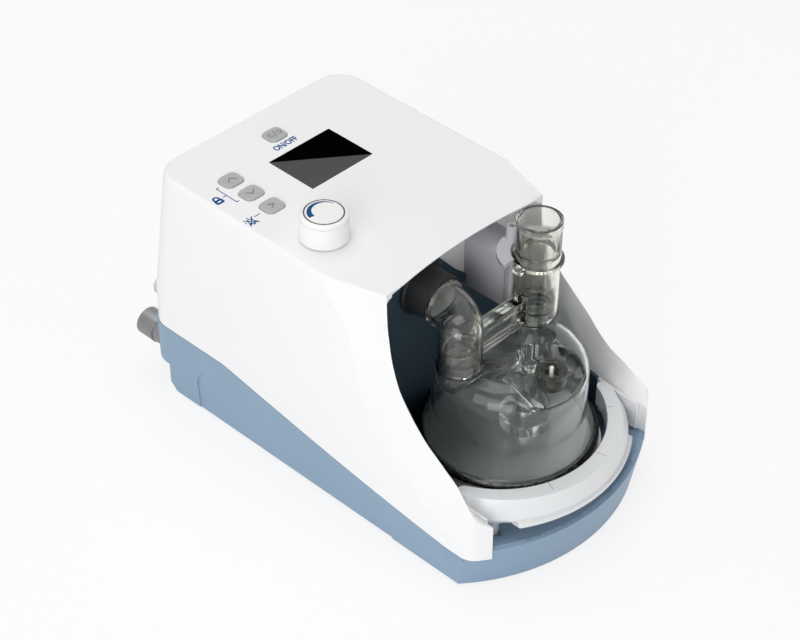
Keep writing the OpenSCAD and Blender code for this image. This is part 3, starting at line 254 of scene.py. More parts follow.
def refined(node, name, body, finish, angle):
    mesh = welded(node)
    softShade(mesh, angle)
    return weighted(placed(name, mesh, body, slotOf(node), finish, node))


# Outlines, in millimetres

def arcPoints(cx, cy, r, a0, a1, n):
    return [(cx + r * math.cos(math.radians(a0 + (a1 - a0) * k / n)),
             cy + r * math.sin(math.radians(a0 + (a1 - a0) * k / n))) for k in range(n + 1)]


def circleLine(x, y, r, n):
    return arcPoints(x, y, r, 0, 360 - 360 / n, n - 1)


def roundRing(x, y, halfX, halfY, r, n=8):
    # A rounded rectangle about x, y
    ring = []
    for cx, cy, a in ((1, 1, 0), (-1, 1, 90), (-1, -1, 180), (1, -1, 270)):
        ring += arcPoints(x + cx * (halfX - r), y + cy * (halfY - r), r, a, a + 90, n)
    return ring


def throughPoints(p, steps):
    # Smooth curve through control points, which may be tuples of any length
    out = []
    for i in range(len(p) - 1):
        a, b, c, d = p[max(i - 1, 0)], p[i], p[i + 1], p[min(i + 2, len(p) - 1)]
        for k in range(steps):
            t = k / steps
            out.append(tuple(0.5 * (2 * y + (z - x) * t + (2 * x - 5 * y + 4 * z - w) * t * t
                                    + (3 * y - x - 3 * z + w) * t ** 3) for x, y, z, w in zip(a, b, c, d)))
    return out + [tuple(p[-1])]


def mixed(a, b, t):
    return tuple(x + (y - x) * t for x, y in zip(a, b))


def flipX(points):
    return [(-p[0],) + tuple(p[1:]) for p in points]


# Ways to lay an outline (u, v) and a depth w in the part

def alongX(u, v, w):
    return (w, u, v)


def alongY(u, v, w):
    return (u, w, v)


def alongZ(u, v, w):
    return (u, v, w)


panel = {"z": 183.0, "tilt": 1.27}
panelCos, panelSin = math.cos(math.radians(panel["tilt"])), math.sin(math.radians(panel["tilt"]))


def onPanel(x, y, h):
    # x and y on the sloping panel, and the height over it
    return (x, y * panelCos - h * panelSin, panel["z"] + y * panelSin + h * panelCos)


# Solids

def solidFrom(name, points, faces):
    mesh = bpy.data.meshes.new(name)
    mesh.from_pydata([tuple(c * mm for c in p) for p in points], [], faces)
    bm = bmesh.new()
    bm.from_mesh(mesh)
    bmesh.ops.recalc_face_normals(bm, faces=bm.faces)
    bm.to_mesh(mesh)
    bm.free()
    return mesh


def lofted(name, loops):
    # Closed solid through loops of equal length
    n = len(loops[0])
    points = [p for loop in loops for p in loop]
    faces = [(i * n + j, i * n + (j + 1) % n, (i + 1) * n + (j + 1) % n, (i + 1) * n + j)
             for i in range(len(loops) - 1) for j in range(n)]
    faces += [tuple(range(n - 1, -1, -1)), tuple((len(loops) - 1) * n + j for j in range(n))]
    return solidFrom(name, points, faces)


def prism(name, outline, place, lo, hi):
    return lofted(name, [[place(u, v, w) for u, v in outline] for w in (lo, hi)])


def boxMesh(x0, y0, z0, x1, y1, z1, place=alongZ):
    return prism("box", [(x0, y0), (x1, y0), (x1, y1), (x0, y1)], place, z0, z1)


def swept(name, grid, way):
    # Closed solid between a grid of points and its copy moved by way
    rows, cols = len(grid), len(grid[0])
    n = rows * cols
    flat = [p for r in grid for p in r]
    points = flat + [tuple(a + b for a, b in zip(p, way)) for p in flat]
    faces = []
    for i in range(rows - 1):
        for j in range(cols - 1):
            a, b, c, d = i * cols + j, i * cols + j + 1, (i + 1) * cols + j + 1, (i + 1) * cols + j
            faces += [(a, b, c), (a, c, d), (c + n, b + n, a + n), (d + n, c + n, a + n)]
    rim = list(range(cols)) + [i * cols + cols - 1 for i in range(1, rows)]
    rim += [(rows - 1) * cols + j for j in range(cols - 2, -1, -1)] + [i * cols for i in range(rows - 2, 0, -1)]
    for k in range(len(rim)):
        a, b = rim[k], rim[(k + 1) % len(rim)]
        faces += [(b, a, a + n), (b, a + n, b + n)]
    return solidFrom(name, points, faces)


def turned(name, profile, place, n):
    # Solid of revolution; profile points are (radius, height), and radius 0 makes a pole
    points, rings = [], []
    for r, h in profile:
        if r == 0:
            rings.append([len(points)])
            points.append(place(0, 0, h))
        else:
            rings.append(list(range(len(points), len(points) + n)))
            turns = [2 * math.pi * k / n for k in range(n)]
            points += [place(r * math.cos(a), r * math.sin(a), h) for a in turns]
    faces = []
    for a, b in zip(rings, rings[1:]):
        for k in range(n):
            j = (k + 1) % n
            if len(a) == 1:
                faces.append((a[0], b[j], b[k]))
            elif len(b) == 1:
                faces.append((a[k], a[j], b[0]))
            else:
                faces.append((a[k], a[j], b[j], b[k]))
    return solidFrom(name, points, faces)


def carve(base, cutters, operation="DIFFERENCE"):
    # One boolean after another, on closed meshes
    obj = bpy.data.objects.new("carveWork", base)
    scene.collection.objects.link(obj)
    helpers = []
    for cutter in cutters:
        other = bpy.data.objects.new("carveTool", cutter)
        scene.collection.objects.link(other)
        helpers.append(other)
        m = obj.modifiers.new("cut", "BOOLEAN")
        m.operation = operation
        m.solver = "MANIFOLD"
        m.object = other
    mesh = plainMesh(obj)
    for o in [obj] + helpers:
        bpy.data.objects.remove(o)
    return mesh


# White cover: a block with soft edges, cut by its plan, by the arms' slopes and by the chamber's bay
cover = {
    "halfWidth": 89, "rearY": 160, "topRearY": 141.5, "cornerRadius": 20, "lean": 2, "wall": 2.6,
    "footZ": 20, "shoulderZ": 85, "shoulderIn": 2, "blankFrontY": -189.5, "edgeIn": 3, "edgeDown": 4,
    "frontRadius": 138, "frontY": -175.5, "frontCorner": 14,
    "panelFrontY": -57.5, "panelArc": 405, "archDeep": 4, "lipUnder": 5, "lipHigh": 1.9,
    "roofThick": 5.5, "roofCorner": 5,
    "bayBackY": -34.5, "bayHalf": 76.3, "bayShoulderZ": 92, "bayTopHalf": 72.2, "bayTopZ": 160,
    "bayCorner": 12, "bayMouthY": -60, "linerRoom": 2.2, "linerFootZ": 28,
    "creaseSoftness": 5, "sideIn": 0.6, "seamGap": 0.15,
    "ductHole": (-20, 148, 16.9, -42, -22),  # round holes: x, z, radius, from y, to y
    "inletHole": (-71, 72, 6.2, 147, 190),
    "inletSeat": (-71, 72, 7.9, 157, 190),
    "towerNotch": (24, -46, 124, 48, -30, 164),
}
seamLine = {"frontY": -124, "frontZ": 26, "rearY": 80, "rearZ": 56, "bow": 0.35}
rearFrame = {"y": cover["rearY"] - cover["shoulderIn"], "z": cover["shoulderZ"], "lean": 9.7,
             "up": 3, "width": 64, "height": 44, "rim": 2.4, "gap": 0.3}
keys = {"size": (15, 13.2), "radius": 4.2, "gap": 0.35, "rise": 1.4,
        "at": {"power_key": (-3.5, 112.1), "up_key": (-58.8, 94.8), "down_key": (-58.8, 75.5),
               "mute_key": (-58.8, 56.2)}}
knob = {"at": (-57.2, 10.7), "radius": 16.3, "height": 18.2, "stemHole": 5.1}
display = {"at": (0, 71.8), "size": (55, 41.2), "gap": 0.15, "holeCorner": 0.4}
far = 300  # well past the cover on every side
slopeSteps = 8  # steps between two rows of the arms' slopes and flares

# Each arm's slope: y, z where it leaves the side wall, then x, y, z of its inner edge
armRows = [(7, 194, 72.2, -57.5, 194), (-4, 183.5, 72.2, -58, 182.5), (-17, 173.5, 72.2, -58, 173),
           (-30, 162, 72.3, -58.5, 161), (-38, 149, 73, -60.5, 149), (-42, 134, 75.5, -65.5, 136),
           (-46, 119, 78, -73, 122.5), (-51, 104.5, 80.5, -84.5, 109), (-60, 90, 81, -96, 98),
           (-72, 79, 80.5, -106.5, 88.5), (-86, 68, 80.5, -116, 81.5), (-100, 58, 81.5, -125.5, 76),
           (-112, 50, 83, -134, 69.5), (-123, 42.5, 84.5, -141.5, 64), (-136, 36, 85.5, -149, 57),
           (-158, 29, 87, -168, 44)]
# The flare inside each arm: x, y, z at the bay's wall, then x, y, z at the slope's inner edge
flareRows = [(73.4, -58, 140, 72.3, -58.5, 161), (74.4, -60, 124, 73, -60.5, 149),
             (75.3, -64.5, 108, 75.5, -65.5, 136), (75.9, -72, 95, 78, -73, 122.5),
             (75.8, -78, 92, 79.2, -79, 115), (76.2, -94, 72, 81, -96, 98), (76.2, -108, 60, 80.5, -111, 85),
             (76.2, -120, 57, 81.5, -125.5, 76), (76.2, -131, 55.5, 83, -134, 69.5),
             (76.2, -142, 54.5, 84.5, -141.5, 64), (76.2, -160, 53, 86, -156, 55)]


def seamHeight(y):
    # Where the cover meets the base: level behind, with a slight bow down to the front
    s = seamLine
    t = min(max((y - s["frontY"]) / (s["rearY"] - s["frontY"]), 0), 1)
    rise = s["rearZ"] - s["frontZ"]
    return s["frontZ"] + rise * (s["bow"] * (1 - math.cos(math.radians(90 * t))) + (1 - s["bow"]) * t)


def coverLoop(halfWidth, end, inset, place):
    # One level of the cover's block, round at its two rear corners
    r = max(cover["cornerRadius"] - inset, 1)
    w, e, front = halfWidth - inset, end - inset, cover["blankFrontY"]
    back = arcPoints(w - r, e - r, r, 0, 90, 14) + arcPoints(r - w, e - r, r, 90, 180, 14)
    return [place(x, y) for x, y in [(-w, front), (w, front)] + back]


def coverBlock(inset):
    c = cover
    loops = [coverLoop(c["halfWidth"], c["rearY"], inset, lambda x, y: (x, y, c["footZ"])),
             coverLoop(c["halfWidth"] - c["lean"] / 3, c["rearY"] - c["shoulderIn"], inset,
                       lambda x, y: (x, y, c["shoulderZ"]))]
    top = c["halfWidth"] - c["lean"]
    for k in range(9):
        a = math.radians(90 * k / 8)
        step = c["edgeIn"] * (1 - math.cos(a))
        h = -c["edgeDown"] + c["edgeDown"] * math.sin(a) - inset
        loops.append(coverLoop(top, c["topRearY"], inset + step, lambda x, y: onPanel(x, y, h)))
    return lofted("coverBlock", loops)


def frontOutline():
    # Plan of the front: one wide arc between two rounded corners, open to the rear
    c = cover
    r, q = c["frontRadius"], c["frontCorner"]
    cy, fx = c["frontY"] + r, c["halfWidth"] - q
    fy = cy - math.sqrt((r - q) ** 2 - fx ** 2)
    a = math.degrees(math.atan2(fy - cy, fx))
    right = arcPoints(fx, fy, q, 0, a, 10) + arcPoints(0, cy, r, a, -90, 60)
    outer = c["halfWidth"] + 7
    return [(outer, 200), (outer, fy)] + right + flipX(right)[-2::-1] + [(-outer, fy), (-outer, 200)]


def armCutter(side, inset=0):
    # Everything in front of an arm's slope, with a soft crease where it leaves the side wall
    grid = []
    drop, soft = 0.7 * inset, cover["creaseSoftness"]  # an inset moves the slope back and down alike
    outside, inside = 14, 1.6  # how far the rows run on past the side wall and the inner edge
    rows = [(oy + drop, oz - drop, ix - inset, iy + drop, iz - drop)
            for oy, oz, ix, iy, iz in throughPoints(armRows, slopeSteps)]
    for k, (oy, oz, ix, iy, iz) in enumerate(rows):
        o, i = (cover["halfWidth"] - cover["sideIn"], oy, oz), (ix, iy, iz)
        before, after = rows[max(k - 1, 0)], rows[min(k + 1, len(rows) - 1)]
        ty, tz = after[0] - before[0], after[1] - before[1]
        size = math.hypot(ty, tz)
        low = (o[0], oy - tz / size * soft, oz + ty / size * soft)
        away = mixed(o, i, soft / math.dist(o, i))
        bend = [tuple((1 - t) ** 2 * a + 2 * t * (1 - t) * b + t * t * c for a, b, c in zip(low, o, away))
                for t in (0.25, 0.5, 0.75)]
        row = [(low[0] + outside, low[1], low[2]), low] + bend + [away, mixed(o, i, 0.7), i, mixed(o, i, inside)]
        grid.append([(side * x, y, z) for x, y, z in row])
    return swept("armCutter", grid, (0, -far, far))


def flareCutter(side):
    # Takes the arm's inner side back from the bay's wall to the slope's inner edge
    grid = []
    for ax, ay, az, bx, by, bz in throughPoints(flareRows, slopeSteps):
        a, b = (ax, ay, az), (bx, by, bz)
        row = (mixed(a, b, 1.8), b, mixed(a, b, 0.66), mixed(a, b, 0.33), a)  # runs on past the slope's edge
        grid.append([(side * x, y, z) for x, y, z in row])
    return swept("flareCutter", grid, (-side * 30, 0, 6))


def bayPrism(grow, bottom):
    # The chamber's bay, open to the front, with round corners at its back
    c = cover
    w, t, r, mouth = c["bayHalf"] + grow, c["bayTopHalf"] + grow, c["bayCorner"], c["bayMouthY"]
    shoulder, top, back = c["bayShoulderZ"], c["bayTopZ"], c["bayBackY"] + grow
    section = [(-w, bottom), (w, bottom), (w, shoulder), (t, top), (t, 260), (-t, 260), (-t, top), (-w, shoulder)]
    along = prism("bayAlong", section, alongY, -far, back)
    plan = [(-far, -far), (far, -far), (far, mouth), (w, mouth)] + arcPoints(w - r, back - r, r, 0, 90, 12)
    plan += arcPoints(r - w, back - r, r, 90, 180, 12) + [(-w, mouth), (-far, mouth)]
    return carve(along, [prism("bayPlan", plan, alongZ, -20, 280)], "INTERSECT")


def roofKept():
    # What stays over the bay: the roof, with a rounded corner down to each side wall
    c = cover
    t, z, r = c["bayTopHalf"], panel["z"] - c["roofThick"], c["roofCorner"]
    right = [(far, z - r), (t + 0.1, z - r)] + arcPoints(t - r, z - r, r, 0, 90, 10)
    return prism("roofKept", [(far, far)] + right + flipX(right)[::-1] + [(-far, far)], alongY, c["panelFrontY"], far)


def frontArcTool(rows):
    # Wide round cutter for the roof's front edge: (height, extra radius) rows
    r = cover["panelArc"]
    centre = cover["panelFrontY"] + cover["archDeep"] - r
    return lofted("frontArc", [[(u, v, z) for u, v in circleLine(0, centre, r + out, 720)] for z, out in rows])


def lipTool():
    # Cuts the roof's front edge back under its lip, at 45 degrees and between the roof's corners
    c = cover
    under, half = panel["z"] - c["lipHigh"], c["bayTopHalf"] - c["roofCorner"]
    rows = [(150, under - 150), (under - c["lipUnder"], c["lipUnder"]), (under, 0.1), (under + 0.5, -1)]
    return carve(frontArcTool(rows), [boxMesh(-half, -80, 150, half, -40, 190)], "INTERSECT")


def onRear(x, y, z):
    # x, depth y and height z on the sloping rear wall
    a = math.radians(rearFrame["lean"])
    return (x, rearFrame["y"] + y * math.cos(a) - z * math.sin(a), rearFrame["z"] + y * math.sin(a) + z * math.cos(a))


def rearBox(grow, y0, y1):
    # The filter door's place in the rear wall, grown all round
    f = rearFrame
    half = f["width"] / 2 + grow
    return boxMesh(-half, y0, f["up"] - grow, half, y1, f["up"] + f["height"] + grow, onRear)


def pipeAlongY(cx, cz, r, y0, y1):
    return prism("pipe", circleLine(cx, cz, r, 64), alongY, y0, y1)


def panelHole(at, size, gap, r, h0, h1):
    # A rounded hole in the panel round a piece of that size
    return prism("panelTool", roundRing(*at, size[0] / 2 + gap, size[1] / 2 + gap, r), onPanel, h0, h1)


def makeCoverShell():
    c = cover
    ridge = [(r[3], r[4]) for r in throughPoints(armRows, slopeSteps)]
    profile = ridge + [(-200, 40), (-200, -1), (220, -1), (220, far), (c["panelFrontY"], far)]
    blank = carve(coverBlock(0), [prism("plan", frontOutline(), alongZ, -5, 290),
                                  prism("ridgeProfile", profile, alongX, -120, 120)], "INTERSECT")
    inside = [(c["panelFrontY"] + c["wall"], far), (-far, far), (-far, -40)]
    inside += [(y + c["wall"], z - c["wall"]) for y, z in ridge[::-1]]
    hollow = carve(coverBlock(c["wall"]), [
        boxMesh(-200, -far, -30, 200, c["bayMouthY"], far), bayPrism(c["linerRoom"], c["linerFootZ"]),
        rearBox(rearFrame["rim"], -14, 6), armCutter(1, c["wall"]), armCutter(-1, c["wall"]),
        prism("ridgeInside", inside, alongX, -120, 120)])
    seam = [(y, seamHeight(y) + c["seamGap"]) for y in range(210, -211, -4)] + [(-210, -20), (210, -20)]
    tools = [armCutter(1), armCutter(-1), flareCutter(1), flareCutter(-1),
             frontArcTool([(166, 0), (240, 0)]), lipTool(),
             hollow, carve(bayPrism(0, -10), [roofKept()]), prism("seam", seam, alongX, -120, 120),
             panelHole(display["at"], display["size"], display["gap"], display["holeCorner"], -12, 4),
             prism("knobHole", circleLine(*knob["at"], knob["stemHole"], 60), onPanel, -12, 8),
             rearBox(rearFrame["gap"], -30, 10),
             pipeAlongY(*c["ductHole"]), pipeAlongY(*c["inletHole"]), pipeAlongY(*c["inletSeat"]),
             boxMesh(*c["towerNotch"])]
    tools += [panelHole(at, keys["size"], keys["gap"], keys["radius"] + keys["gap"], -6, 4)
              for at in keys["at"].values()]
    mesh = carve(blank, tools)
    bm = bmesh.new()
    bm.from_mesh(mesh)
    bmesh.ops.remove_doubles(bm, verts=bm.verts, dist=2e-6)
    bmesh.ops.dissolve_degenerate(bm, edges=bm.edges, dist=1e-6)
    bm.to_mesh(mesh)
    bm.free()
    softShade(mesh, 26)
    return weighted(placed("coverShell", mesh, "housing", "cover_plastic", "coverWhite", "top_cover"))


coverShell = makeCoverShell()
print("cover shell made:", len(coverShell.data.polygons), "faces")


# CAD shapes kept as they are, joined up and shaded smooth: node, piece, body, finish, sharp from
smoothPieces = [
    ("base_case", "baseShell", "housing", "baseBlue", 24),
    ("chamber_dome", "chamberDome", "housing", "chamberSmoke", 32),
    ("fill_port", "fillCollar", "housing", "collarSmoke", 30),
    ("tube_adapter", "tubeAdapter", "adapter", "adapterSmoke", 32),
    # The tower's finish is a light grey darkened by painted shade from the roof
    ("tube_tower", "tubeTower", "housing", "towerGreyPaintedShade", 30),
    ("outlet_cuff", "outletCuff", "housing", "blackRubber", 30),
    ("finger_guard", "fingerGuard", "guard", "guardWhite", 34),
    ("oxygen_inlet", "oxygenInlet", "housing", "inletGrey", 30),
    ("sensor_socket", "sensorSocket", "housing", "paleGrey", 30),
    ("filter_cover", "filterGrille", "filter_door", "coverWhite", 30),
    ("mains_inlet", "mainsInlet", "housing", "blackPlastic", 30),
]
for piece in smoothPieces:
    refined(*piece)
# Two coil springs, which on the device shorten as the guard goes down; here they get a mesh of their own and keep one
# length
guardSprings = refined("guard_springs", "guardSprings", "housing", "brightSteel", 40)
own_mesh(guardSprings)
print("smooth copies made:", len(smoothPieces) + 1)


# The bay liner's side walls turn from blue to the cover's white near the front
liner = {"wingStart": -112, "wingFoot": 33.2}


def makeLiner():
    wings = boxMesh(-200, -220, liner["wingFoot"], 200, liner["wingStart"], 220)
    for name, how, finish, *replaced in (("bayLiner", "DIFFERENCE", "linerBlue", "bay_liner"),
                                         ("bayWings", "INTERSECT", "coverWhite")):
        mesh = carve(welded("bay_liner"), [wings], how)
        softShade(mesh, 26)
        weighted(placed(name, mesh, "housing", slotOf("bay_liner"), finish, *replaced))


makeLiner()


# Fine radial lines across the finger guard's top, raised and in a dark grey that paints the shade of engraved lines
guardTicks = {"turns": (-36, -76, -115), "centreY": -97, "from": 63.4, "to": 70.6, "half": 0.14,
              "top": 59.5, "proud": 0.03, "root": 0.05}


def makeGuardTicks():
    c = guardTicks
    points, faces = [], []
    for turn in c["turns"]:
        ux, uy = math.cos(math.radians(turn)), math.sin(math.radians(turn))
        first = len(points)
        for z in (c["top"] - c["root"], c["top"] + c["proud"]):
            for r, w in ((c["from"], -1), (c["to"], -1), (c["to"], 1), (c["from"], 1)):
                points.append((ux * r - uy * w * c["half"], c["centreY"] + uy * r + ux * w * c["half"], z))
        for f in ((3, 2, 1, 0), (4, 5, 6, 7), (0, 1, 5, 4), (1, 2, 6, 5), (2, 3, 7, 6), (3, 0, 4, 7)):
            faces.append(tuple(first + k for k in f))
    mesh = solidFrom("guardTicks", points, faces)
    placed("guardTicks", mesh, "guard", slotOf("finger_guard"), "keyMark")


makeGuardTicks()
print("bay liner and guard lines made")


# Panel keys: plunger, flange under the cover, and a cap with a soft edge and a shallow dish
keyShape = {"plunger": 2, "foot": -8.2, "flange": (-3.9, -2.9), "flangeOut": 1.2, "edge": 0.9, "dish": 0.25,
            "middle": 1.2, "middleCorner": 0.8}


def makeKey(body, name):
    k, out, top = keyShape, keyShape["flangeOut"], keys["rise"]
    w, d, r = keys["size"][0] / 2, keys["size"][1] / 2, keys["radius"]
    p, q = k["plunger"], k["plunger"] - 0.02
    rows = [(k["foot"], p, p, q), (k["flange"][0], p, p, q),  # height, half sizes, corner
            (k["flange"][0], w + out, d + out, r + out), (k["flange"][1], w + out, d + out, r + out),
            (k["flange"][1], w, d, r), (top - k["edge"], w, d, r)]
    for i in range(1, 7):
        a = math.radians(15 * i)
        inset = k["edge"] * (1 - math.cos(a))
        rows.append((top - k["edge"] * (1 - math.sin(a)), w - inset, d - inset, r - inset))
    for i in range(1, 6):
        t = i / 5
        inset = k["edge"] + (min(w, d) - k["edge"] - k["middle"]) * t
        rows.append((top - k["dish"] * math.sin(math.pi / 2 * t), w - inset, d - inset,
                     max(r - inset, k["middleCorner"])))
    at = keys["at"][body]
    mesh = lofted(name, [[onPanel(u, v, h) for u, v in roundRing(*at, hx, hy, c)] for h, hx, hy, c in rows])
    softShade(mesh, 40)
    placed(name, mesh, body, slotOf(body), "keyGrey", body)


for body, name in (("power_key", "powerKey"), ("up_key", "upKey"), ("down_key", "downKey"), ("mute_key", "muteKey")):
    makeKey(body, name)


# Oxygen knob: hollow skirt, a groove under its cap, and a dark ring round the white disc
knobShape = {"foot": 0.6, "groove": (14.9, 15.5), "grooveDeep": 0.7, "recess": 13.2, "recessDeep": 1.0, "edge": 2.2,
             "skirtIn": 13.9, "skirtDeep": 9, "hub": 6.5, "bore": 3.02, "boreDeep": 12,
             "disc": 12.2, "discHigh": 1.15, "band": (12.25, 13.1), "bandHigh": 1.1,
             "arcRadius": 10.9, "arcWide": (3.95, 0.25), "arcTurn": (170, 10), "arcHigh": 1.2}


def knobPlace(u, v, h):
    return onPanel(knob["at"][0] + u, knob["at"][1] + v, h)


def makeKnobBody(high):
    s, r, z = knobShape, knob["radius"], knobShape["foot"]
    g0, g1 = z + s["groove"][0], z + s["groove"][1]
    bore, skirt, waist = z + s["boreDeep"], z + s["skirtDeep"], r - 0.45
    profile = [(0, bore), (s["bore"], bore), (s["bore"], z), (s["hub"], z), (s["hub"], skirt),
               (s["skirtIn"], skirt), (s["skirtIn"], z), (r - 0.4, z), (r, z + 0.4),
               (waist, g0 - 0.25), (waist - 0.2, g0), (waist - s["grooveDeep"], g0 + 0.1),
               (waist - s["grooveDeep"], g1 - 0.1), (waist - 0.2, g1), (r - 0.5, g1 + 0.25)]
    for i in range(1, 8):
        a = math.radians(90 * i / 7)
        drop = (high - g1 - 0.3) * 0.9
        profile.append((r - 0.5 - s["edge"] * (1 - math.cos(a)), high - drop * (1 - math.sin(a))))
    profile += [(s["recess"], high), (s["recess"], high - s["recessDeep"]), (0, high - s["recessDeep"])]
    return turned("knobBody", profile, knobPlace, 128)


def makeKnobBand(floor):
    inner, outer = knobShape["band"]
    top = floor + knobShape["bandHigh"]
    profile = [(inner, floor), (outer, floor), (outer, top - 0.1), (outer - 0.1, top), (inner + 0.1, top),
               (inner, top - 0.1), (inner, floor)]
    return joinedUp(turned("knobBand", profile, knobPlace, 128), 1e-7, outward=True)


def makeKnobArc(floor):
    # Blue arc that narrows as the oxygen share falls
    s, n = knobShape, 60
    outer, inner = [], []
    for i in range(n + 1):
        t = i / n
        a = math.radians(s["arcTurn"][0] + (s["arcTurn"][1] - s["arcTurn"][0]) * t)
        wide = s["arcWide"][0] + (s["arcWide"][1] - s["arcWide"][0]) * t
        for line, r in ((outer, s["arcRadius"]), (inner, s["arcRadius"] - wide)):
            line.append((r * math.cos(a), r * math.sin(a)))
    return prism("knobArc", outer + inner[::-1], knobPlace, floor + s["bandHigh"], floor + s["arcHigh"])


def makeKnob():
    s = knobShape
    high = s["foot"] + knob["height"]
    floor = high - s["recessDeep"]
    disc, top = s["disc"], floor + s["discHigh"]
    discProfile = [(0, floor), (disc, floor), (disc, top - 0.2), (disc - 0.2, top), (0, top)]
    for name, mesh, node, finish in (
            ("knobBody", makeKnobBody(high), "oxygen_knob", "knobWhite"),
            ("knobDisc", turned("knobDisc", discProfile, knobPlace, 128), "knob_cap", "knobWhite"),
            ("knobBand", makeKnobBand(floor), "knob_ring", "ringBrown")):
        softShade(mesh, 38)
        placed(name, mesh, "knob", slotOf(node), finish, node)
    placed("knobArc", makeKnobArc(floor), "knob", slotOf("knob_cap"), "printBlue")


makeKnob()
print("keys and knob made")


# Marks: blue print on the panel, and key signs in a dark grey that paints the shade of engraved lines; all are thin
# raised shapes, their strokes a little bolder than drawn
marks = {"bold": 1.25, "lift": 0, "thick": 0.07, "root": 0.03, "lockAt": (-79.2, 85), "bellAt": (-79, 53.5),
         "bracketX": -71.5, "wordAt": (-5, 100.3), "wordHigh": 5.4, "wordLong": 20,
         "signWide": 0.55, "signLift": 0.06, "signThick": 0.14}


def stroke(line, width, closed=False):
    # Outline of a line of points, with mitred corners
    n = len(line)
    left, right = [], []
    for i, (x, y) in enumerate(line):
        ways = []
        if closed or i > 0:
            ways.append((x - line[i - 1][0], y - line[i - 1][1]))
        if closed or i < n - 1:
            ways.append((line[(i + 1) % n][0] - x, line[(i + 1) % n][1] - y))
        normals = [(-b / math.hypot(a, b), a / math.hypot(a, b)) for a, b in ways]
        mx, my = sum(p[0] for p in normals), sum(p[1] for p in normals)
        size = math.hypot(mx, my)
        mx, my = mx / size, my / size
        reach = marks["bold"] * width / 2 / max(mx * normals[0][0] + my * normals[0][1], 0.4)
        left.append((x + mx * reach, y + my * reach))
        right.append((x - mx * reach, y - my * reach))
    return left, right


def quadRing(bm, a, b):
    for k in range(len(a)):
        j = (k + 1) % len(a)
        bm.faces.new((a[k], a[j], b[j], b[k]))


def markMesh(name, shapes, lift, thick):
    # Each shape is a "line" or a "loop", its points and its width
    bm = bmesh.new()
    for kind, line, width in shapes:
        left, right = stroke(line, width, kind == "loop")
        sides = [left, right] if kind == "loop" else [left + right[::-1]]
        rows = [[[bm.verts.new([c * mm for c in onPanel(u, v, h)]) for u, v in side] for side in sides]
                for h in (lift - marks["root"], lift + thick)]
        for low, high in zip(*rows):
            quadRing(bm, low, high)
        for row in rows:
            if kind == "loop":
                quadRing(bm, *row)
            else:
                bm.faces.new(row[0])
    bmesh.ops.recalc_face_normals(bm, faces=bm.faces)
    mesh = bpy.data.meshes.new(name)
    bm.to_mesh(mesh)
    bm.free()
    return mesh


def makeLockMark():
    # A padlock, and the bracket that ties it to the up and down keys
    x, y = marks["lockAt"]
    shackle = [(x - 1.9, y + 0.4)] + arcPoints(x, y + 1.6, 1.9, 180, 0, 12) + [(x + 1.9, y + 0.4)]
    bx, top, low = marks["bracketX"], keys["at"]["up_key"][1], keys["at"]["down_key"][1]
    mid = (top + low) / 2
    shapes = [("loop", roundRing(x, y - 1.6, 2.3, 1.5, 0.5, 4), 1.4), ("line", shackle, 1.1),
              ("line", [(bx + 2, top), (bx, top), (bx, low), (bx + 2, low)], 0.5),
              ("line", [(bx, mid), (bx - 3, mid)], 0.5)]
    return markMesh("lockMark", shapes, marks["lift"], marks["thick"])


def makeBellMark():
    # A crossed bell, with a dash to the mute key
    x, y = marks["bellAt"]
    bell = [(x - 3.0, y - 1.6), (x - 2.1, y - 0.8), (x - 1.9, y + 1.0)] + arcPoints(x, y + 1.2, 1.9, 180, 0, 10)
    bell += [(x + 1.9, y + 1.0), (x + 2.1, y - 0.8), (x + 3.0, y - 1.6)]
    shapes = [("loop", bell, 0.6), ("line", arcPoints(x, y - 2.0, 1.0, 190, 350, 8), 0.7),
              ("line", [(x - 3.6, y - 3.4), (x + 3.6, y + 4.2)], 0.6),
              ("line", [(x + 3.6, y - 3.4), (x - 3.6, y + 4.2)], 0.6),
              ("line", [(x - 4.6, y + 1.2), (x - 3.3, y + 1.2)], 0.5),
              ("line", [(x + 4.6, y + 2.6), (x + 9.4, y + 2.6)], 0.5), ("line", [(x, y + 3.9), (x, y + 5.2)], 0.5)]
    return markMesh("bellMark", shapes, marks["lift"], marks["thick"])


def makeWord():
    # The switch's own word, as a thin raised print
    curve = bpy.data.curves.new("switchWord", "FONT")
    curve.body = "ON/OFF"
    curve.align_x = curve.align_y = "CENTER"
    curve.size = 1
    curve.offset = 0.03
    curve.extrude = 0.01
    curve.resolution_u = 4
    obj = bpy.data.objects.new("switchWordWork", curve)
    scene.collection.objects.link(obj)
    mesh = plainMesh(obj)
    bpy.data.objects.remove(obj)
    xs = [v.co.x for v in mesh.vertices]
    ys = [v.co.y for v in mesh.vertices]
    sx, sy = marks["wordLong"] / (max(xs) - min(xs)), marks["wordHigh"] / (max(ys) - min(ys))
    cx, cy = (max(xs) + min(xs)) / 2, (max(ys) + min(ys)) / 2
    wx, wy = marks["wordAt"]
    for v in mesh.vertices:
        h = marks["lift"] - marks["root"] if v.co.z < 0 else marks["lift"] + marks["thick"]
        v.co = [c * mm for c in onPanel(wx + (v.co.x - cx) * sx, wy + (v.co.y - cy) * sy, h)]
    return joinedUp(mesh, 1e-7, outward=True)


